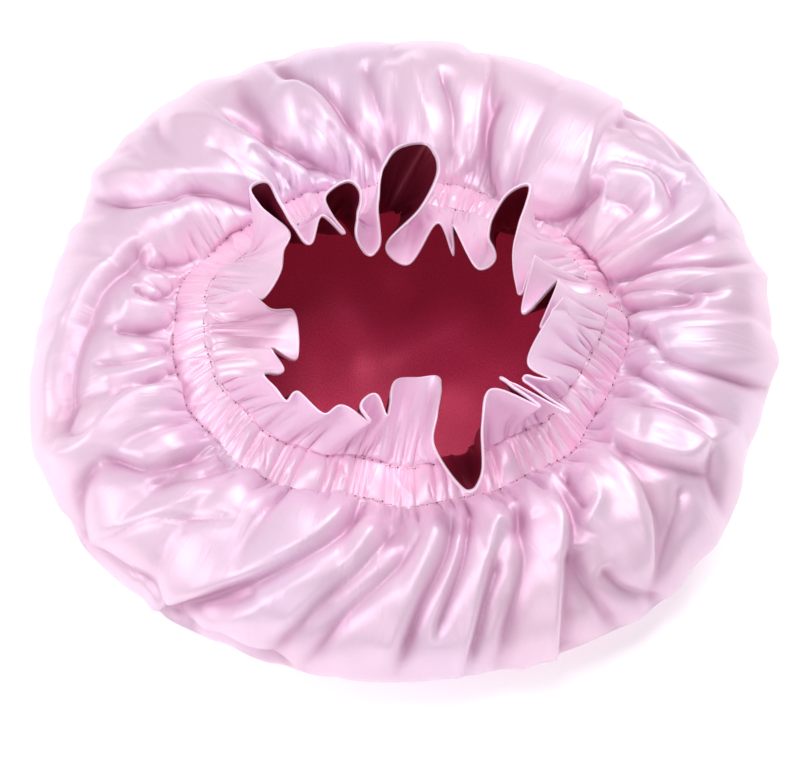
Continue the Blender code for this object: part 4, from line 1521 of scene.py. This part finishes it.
@dataclass
class Casing:
    """Gathered casing between the two stitch rows, and the elastic inside it."""

    shape: BonnetShape
    columns: int = 1500
    rows: int = 26
    puff: float = 0.0016
    under_puff: float = 0.0018
    creases: int = 150
    overlaps: int = 34
    cut_length: float = 0.95
    under_cut_length: float = 0.75
    elastic_length: float = 0.58
    elastic_columns: int = 240
    elastic_rows: int = 7
    elastic_share: float = 0.72
    elastic_thickness: float = 0.0007

    def lift(self, angle: np.ndarray, share: np.ndarray) -> tuple[np.ndarray, np.ndarray]:
        """Pleats and creases of the pink cloth over the casing.

        Args:
            angle: Angles in radians.
            share: 0 at the outer stitch row, 1 at the inner one.

        Returns:
            Metres off the casing's face, and the shade painted between pleats and into creases.
        """
        gathers = self.shape.gathers
        chance = np.random.default_rng(3)
        lean = 0.028 * np.sin(2 * angle + 0.6) + 0.014 * np.sin(7 * angle)
        leaned = angle + lean * (share - 0.5)
        fine = gathers.pleats(leaned, 1, 0.55)
        broad = gathers.pleats(leaned + 0.01 * np.sin(6 * share), 4, 0.7)
        arch = np.sin(np.pi * np.clip(share, 0, 1)) ** 0.7
        bunch = self.shape.section("bunching", angle)
        height = arch * (self.puff * (0.2 + 0.5 * broad) + 0.0013 * bunch * (fine - 0.4))
        crease = np.zeros(angle.shape)
        for _ in range(self.creases):
            middle = chance.uniform(0, 2 * np.pi)
            slant = chance.uniform(-0.12, 0.12)
            width = chance.uniform(0.004, 0.016)
            start, end = sorted(chance.uniform(-0.3, 1.3, 2))
            deep = chance.uniform(0.3, 1.1)
            off = wrapped(angle - middle - slant * (share - 0.5))
            span = ease((share - start) / 0.2) * ease((end - share) / 0.2)
            crease += deep * span * np.exp(-np.abs(off) / width)
        for _ in range(self.overlaps):
            middle = chance.uniform(0, 2 * np.pi)
            slant = chance.uniform(-0.16, 0.16)
            width = chance.uniform(0.012, 0.035)
            off = wrapped(angle - middle - slant * (share - 0.5))
            reach = np.abs(off) / np.where(off > 0, width, width * 0.3)
            height += chance.uniform(0.0004, 0.0016) * arch * np.exp(-(reach**1.5))
        crease = crease * (0.45 + 0.55 * bunch)
        height = height - 0.0016 * arch * np.clip(crease, 0, 1.6)
        row = self.shape.row_wave(angle)
        height = np.maximum(height, 0.00115 * arch**0.5 - row)
        # Painted shade between the fine pleats, more where the cloth bunches, and in the creases.
        fold = np.clip(1.1 - fine * 1.3, 0, 1) * 0.8 * bunch + 0.6 * np.clip(crease, 0, 1)
        return row + height, np.clip(0.6 * fold, 0, 1)

    def ring(self, side: int) -> tuple[np.ndarray, np.ndarray, np.ndarray]:
        """One cloth of the casing.

        Args:
            side: 1 for the pink top, -1 for the burgundy underside.

        Returns:
            Its points, its normals and the shade painted between pleats.
        """
        turn = turns(self.columns)
        angle, share = np.meshgrid(turn, np.linspace(0, 1, self.rows))
        face = self.shape.row_frame(angle)[3] * side
        if side > 0:
            lift, fold = self.lift(angle, share)
        else:
            arch = np.sin(np.pi * share) ** 0.6
            pleats = self.shape.gathers.pleats(angle, 4)
            lift = self.shape.lining_drop + arch * (0.8 * self.under_puff + 0.0004 * pleats)
            # Painted shade between the underside's pleats.
            fold = np.clip(0.5 - pleats, 0, 1)
        points = self.shape.casing_point(angle, share, side * lift)
        return points, face, fold

    def build(self, finishes: Finishes) -> list[bpy.types.Object]:
        """Build and dress the casing, its lining and its elastic.

        Args:
            finishes: The bonnet's materials.

        Returns:
            The three finished pieces.
        """
        width = self.shape.casing_width
        made = []
        for side, name, node, slot, cloth, length in (
            (1, "casing_cloth", "casing_shell", "pink_satin", finishes.gathered, self.cut_length),
            (
                -1,
                "casing_under",
                "casing_lining",
                "burgundy_satin",
                finishes.burgundy,
                self.under_cut_length,
            ),
        ):
            points, normals, fold = self.ring(side)
            cut = (self.cut_length, width)
            piece = ring_of_cloth(name, points, normals, cut, {"fold": fold})
            dress(piece, cloth, node)
            made.append(piece)
        half = self.elastic_share / 2
        across = np.linspace(0.5 - half, 0.5 + half, self.elastic_rows)
        angle, share = np.meshgrid(turns(self.elastic_columns), across)
        points = self.shape.casing_point(angle, share, 0 * angle + 0.0001)
        face = self.shape.row_frame(angle)[3]
        flat = (self.elastic_length, half * 2 * width)
        band = ring_of_cloth("elastic_ring", points, face, flat)
        wall = band.modifiers.new("wall", "SOLIDIFY")
        wall.thickness = self.elastic_thickness
        wall.offset = 0.0
        dress(band, finishes.elastic, "elastic_band")
        made.append(band)
        return made


@dataclass
class Ruffle:
    """Fluted ruffle: pink outside, burgundy towards the mouth, pink rolled over at the hem."""

    shape: BonnetShape
    depth: float = 0.041
    rounding: float = 0.0018
    columns: int = 1600
    rows: int = 30
    half_wall: float = 0.00055
    hem_roll: float = 0.0007
    fine: int = 16
    dense: int = 1440
    wide_share: float = 0.0441
    near_share: float = 0.0088
    wrinkles: int = 200

    def hem(self) -> tuple[np.ndarray, np.ndarray]:
        """Free edge of the ruffle, as a smooth curve through the rows of HEM.

        Returns:
            Points spread evenly along it, and the angle on the inner row of each.
        """
        rows = np.array(HEM, float)
        angle = np.radians(rows[:, 0])
        along, inward = self.shape.row_frame(angle)[:2]
        base = self.shape.casing_point(angle, 1 + 0 * angle, 0 * angle)
        reach = along * rows[:, 1:2] + inward * rows[:, 2:3] + UP * rows[:, 3:4]
        points = base + self.depth * reach
        together = np.concatenate([points, angle[:, None]], -1)
        total = len(together)
        fine = self.fine
        curve = []
        for i in range(total):
            four = np.array([together[(i + k - 1) % total] for k in range(4)])
            for k in range(4):
                four[k, 3] += 2 * np.pi * ((i + k - 1) // total)
            knots = [0.0]
            for k in range(3):
                knots.append(knots[-1] + np.linalg.norm(four[k + 1, :3] - four[k, :3]) ** 0.5)
            for k in range(fine):
                t = knots[1] + (knots[2] - knots[1]) * k / fine
                level = [row[:3] for row in four]
                for spans in (((0, 1), (1, 2), (2, 3)), ((0, 2), (1, 3)), ((1, 2),)):
                    level = [
                        (level[m] * (knots[b] - t) + level[m + 1] * (t - knots[a]))
                        / (knots[b] - knots[a])
                        for m, (a, b) in enumerate(spans)
                    ]
                turned = four[1, 3] + (four[2, 3] - four[1, 3]) * k / fine
                curve.append([*level[0], turned])
        curve = np.array(curve + [[*curve[0][:3], curve[0][3] + 2 * np.pi]])
        count = self.dense
        length = self.lengths(curve)
        dense = np.arange(count) * length[-1] / count
        curve = np.stack([np.interp(dense, length, curve[:, k]) for k in range(4)], -1)
        drift = curve[:, 3:] - turns(count)[:, None]
        step = length[-1] / count
        place = round_off(curve[:, :3], max(2, int(self.rounding / step)))
        turn = round_off(drift, 18)[:, 0] + turns(count)
        place = np.concatenate([place, place[:1]])
        turn = np.append(turn, turn[0] + 2 * np.pi)
        length = self.lengths(place)
        even = np.arange(self.columns) * length[-1] / self.columns
        hem = np.stack([np.interp(even, length, place[:, k]) for k in range(3)], -1)
        return hem, np.interp(even, length, turn)

    @staticmethod
    def lengths(curve: np.ndarray) -> np.ndarray:
        """Length along a curve up to each of its points."""
        steps = np.linalg.norm(np.diff(curve[:, :3], axis=0), axis=1)
        return np.concatenate([[0], np.cumsum(steps)])

    def middle(self) -> tuple[np.ndarray, np.ndarray, np.ndarray, np.ndarray]:
        """Surface midway between the ruffle's two cloths, from the inner row to the hem.

        Returns:
            Its points, its normals, the fine pleats of the pink side in metres, and the shade
            painted between them near the inner row.
        """
        hem, turn = self.hem()
        across, face = self.shape.row_frame(turn)[2:]
        lift = self.shape.row_wave(turn) - self.half_wall
        base = self.shape.casing_point(turn, 1 + 0 * turn, lift)
        leaning = hem - base
        mean = unit(round_off(leaning, int(self.columns * self.wide_share)))
        local = round_off(leaning, int(self.columns * self.near_share)) / self.depth
        lean = 0.75 * unit(across + 1.2 * mean) + 0.5 * (local - mean)
        first = base + lean * self.depth * 0.32
        second = base + leaning * 0.72 + mean * self.depth * 0.03
        share = np.linspace(0, 1, self.rows) ** 1.15
        v = share[:, None, None]
        points = base * (1 - v) ** 3 + first * 3 * v * (1 - v) ** 2
        points = points + second * 3 * v**2 * (1 - v) + hem * v**3
        outward = np.broadcast_to(face, points.shape)
        normals = grid_normals(points, outward)
        normals[0] = face
        normals = unit(normals)
        pleats = self.shape.gathers.pleats(turn)
        fade = ease(share / 0.07) * (1 - ease((share - 0.07) / 0.6))
        fine = pleats[None] * 0.0019 * fade[:, None]
        broad = self.shape.gathers.pleats(turn, 3)
        fade = ease(share / 0.15) * (1 - ease((share - 0.3) / 0.7))
        wrinkle = (broad - 0.6)[None] * 0.0020 * fade[:, None]
        chance = np.random.default_rng(8)
        place = np.arange(self.columns) / self.columns
        for _ in range(self.wrinkles):
            middle, level = chance.uniform(0, 1), chance.uniform(0.15, 0.95)
            width, lean = chance.uniform(0.0012, 0.0045), chance.uniform(-0.02, 0.02)
            off = (place[None] - middle - lean * (share[:, None] - level) + 0.5) % 1 - 0.5
            span = np.exp(-(((share[:, None] - level) / 0.3) ** 2))
            height = chance.uniform(-0.0010, 0.0010)
            wrinkle = wrinkle + height * span * np.exp(-((off / width) ** 2))
        points = points + normals * wrinkle[..., None]
        # Painted shade between the pleats near the inner row.
        fold = np.clip(0.9 - pleats, 0, 1)[None] * (1 - ease(share / 0.35))[:, None]
        return points, normals, fine, fold

    def build(self, finishes: Finishes) -> list[bpy.types.Object]:
        """Build and dress both cloths of the ruffle.

        Args:
            finishes: The bonnet's materials.

        Returns:
            The two finished pieces.
        """
        points, normals, fine, fold = self.middle()
        hem_length = self.lengths(np.concatenate([points[-1], points[-1][:1]]))[-1]
        LOG.info("hem is %.3f m long", hem_length)
        made = []
        outer = points + normals * (self.half_wall + fine[..., None])
        rise = unit(points[-1] - points[-3])
        roll = [outer]
        for turn in np.radians([30, 60, 90, 120, 150, 180]):
            off = normals[-1] * np.cos(turn) + rise * np.sin(turn)
            roll.append((points[-1] + off * self.hem_roll)[None])
        for back in (0.0006, 0.0010):
            roll.append((points[-1] - normals[-1] * self.hem_roll - rise * back)[None])
        roll = np.concatenate(roll)
        extra = len(roll) - len(outer)
        # Painted shade between pleats, none on the rolled hem.
        roll_shade = np.concatenate([fold, np.zeros((extra, fold.shape[1]))])
        outward = np.concatenate([normals, np.repeat(normals[-1:], extra, 0)])
        outward[len(outer) :] *= np.linspace(1, 0.01, extra)[:, None, None]
        cut = (hem_length, self.depth)
        piece = ring_of_cloth("ruffle_cloth", roll, outward, cut, {"fold": 0.7 * roll_shade})
        dress(piece, finishes.ruffled, "ruffle_shell")
        made.append(piece)
        inner = points - normals * self.half_wall
        turn = self.hem()[1]
        drop = -self.shape.lining_drop + 0 * turn
        inner[0] = self.shape.casing_point(turn, 1 + 0 * turn, drop)
        piece = ring_of_cloth("ruffle_under", inner, -normals, cut, {"fold": 0.7 * fold})
        dress(piece, finishes.burgundy, "ruffle_lining")
        made.append(piece)
        return made


@dataclass
class StitchRows:
    """Both rows of machine stitches, with the needle holes' painted shade between them."""

    shape: BonnetShape
    pitch: float = 0.0046
    thread_width: float = 0.0003
    hole_size: tuple[float, float, float] = (0.00045, 0.00045, 0.0003)
    row_shares: tuple[float, float] = (0.03, 0.94)

    def row(self, share: float) -> list[tuple[np.ndarray, np.ndarray, np.ndarray, np.ndarray]]:
        """Stitches of one row.

        Args:
            share: 0 for the outer row's line on the casing, 1 for the inner row's.

        Returns:
            The place of each, with unit vectors along, across and off the cloth.
        """
        casing = Casing(self.shape)
        turn = np.linspace(0, 2 * np.pi, 2001)
        level = share + 0 * turn
        line = self.shape.casing_point(turn, level, casing.lift(turn, level)[0])
        length = Ruffle.lengths(line)
        count = int(length[-1] / self.pitch)
        angle = np.interp(np.arange(count) * length[-1] / count, length, turn)
        along, _, across, face = self.shape.row_frame(angle)
        level = share + 0 * angle
        place = self.shape.casing_point(angle, level, casing.lift(angle, level)[0])
        return list(zip(place, along, across, face))

    def beads(
        self, name: str, lengths: tuple[float, float, float], shift: float
    ) -> bpy.types.Object:
        """One long bead at every stitch of both rows, joined in one mesh.

        Args:
            name: Name of the new object.
            lengths: Half sizes along, across and off the cloth.
            shift: Move along the row, as a share of the pitch.

        Returns:
            The new object.
        """
        shape = bmesh.new()
        for share in self.row_shares:
            for place, along, across, face in self.row(share):
                middle = place + along * shift * self.pitch
                columns = [along * lengths[0], across * lengths[1], face * lengths[2], middle]
                matrix = Matrix([[*row] for row in np.array(columns).T] + [[0, 0, 0, 1]])
                bmesh.ops.create_uvsphere(
                    shape, u_segments=6, v_segments=4, radius=1, matrix=matrix
                )
        bmesh.ops.recalc_face_normals(shape, faces=shape.faces[:])
        mesh = mesh_of(name, shape)
        mesh.shade_smooth()
        return put_in_scene(name, mesh)

    def build(self, finishes: Finishes) -> list[bpy.types.Object]:
        """Build and dress the threads and the painted shade of the needle holes.

        Args:
            finishes: The bonnet's materials.

        Returns:
            The two finished pieces.
        """
        half = self.pitch * 0.40
        sizes = (half, self.thread_width, self.thread_width)
        threads = self.beads("stitch_threads", sizes, 0)
        dress(threads, finishes.thread)
        # Dark beads between the stitches: painted shade inside the needle holes.
        hole_shades = self.beads("needle_hole_shades", self.hole_size, 0.5)
        dress(hole_shades, finishes.hole_shade)
        return [threads, hole_shades]


@dataclass
class Studio:
    """Plain pale floor and soft light, brightest from behind on the right."""

    floor_half: float = 2.5
    sky: float = 0.355
    lamps: tuple[tuple[str, tuple[float, float, float], float, float], ...] = (
        ("key_lamp", (0.62, 0.75, 1.25), 0.8, 11.5),
        ("left_lamp", (-1.0, -0.35, 0.75), 0.8, 6.0),
        ("front_lamp", (0.1, -1.3, 0.8), 0.9, 3.0),
        ("top_lamp", (-0.1, -0.1, 1.5), 0.4, 4.0),
    )

    def floor(self) -> bpy.types.Object:
        """Pale floor under the bonnet.

        Returns:
            The floor.
        """
        shape = bmesh.new()
        bmesh.ops.create_grid(shape, x_segments=4, y_segments=4, size=self.floor_half)
        mesh = mesh_of("studio_floor", shape)
        floor = put_in_scene("studio_floor", mesh)
        paper = bpy.data.materials.new("pale_paper")
        paper.use_nodes = True
        shader = paper.node_tree.nodes["Principled BSDF"]
        shader.inputs["Base Color"].default_value = (0.93, 0.93, 0.93, 1)
        shader.inputs["Roughness"].default_value = 0.9
        shader.inputs["Specular IOR Level"].default_value = 0.1
        shader.inputs["Emission Color"].default_value = (1, 1, 1, 1)
        shader.inputs["Emission Strength"].default_value = 0.3
        mesh.materials.append(paper)
        return floor

    def light(self) -> None:
        """Sky and lamps."""
        world = bpy.data.worlds.new("studio_sky")
        world.use_nodes = True
        world.node_tree.nodes["Background"].inputs["Color"].default_value = (1, 1, 1, 1)
        world.node_tree.nodes["Background"].inputs["Strength"].default_value = self.sky
        bpy.context.scene.world = world
        for name, place, size, power in self.lamps:
            lamp = bpy.data.lights.new(name, "AREA")
            lamp.size = size
            lamp.energy = power
            holder = put_in_scene(name, lamp)
            back = unit(np.array(place) - np.array([0, 0, 0.04]))
            right = unit(np.cross(UP, back))
            turn = np.array([right, np.cross(back, right), back]).T
            holder.matrix_world = Matrix.Translation(place) @ Matrix(turn.tolist()).to_4x4()
        bpy.context.scene.view_settings.view_transform = "Standard"
        bpy.context.scene.view_settings.look = "None"

    def build(self) -> None:
        """Set up the studio."""
        self.floor()
        self.light()


def main() -> None:
    """Load the frame, set up the camera, and build every piece and the studio."""
    logging.basicConfig(level=logging.INFO, format="%(name)s %(message)s")
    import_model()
    camera = PhotoCamera()
    camera.build()
    shape = BonnetShape()
    finishes = Finishes()
    Crown(shape, camera).build(finishes)
    CrownFloor(shape, camera).build(finishes)
    Casing(shape).build(finishes)
    Ruffle(shape).build(finishes)
    StitchRows(shape).build(finishes)
    Studio().build()


if __name__ == "__main__":
    main()
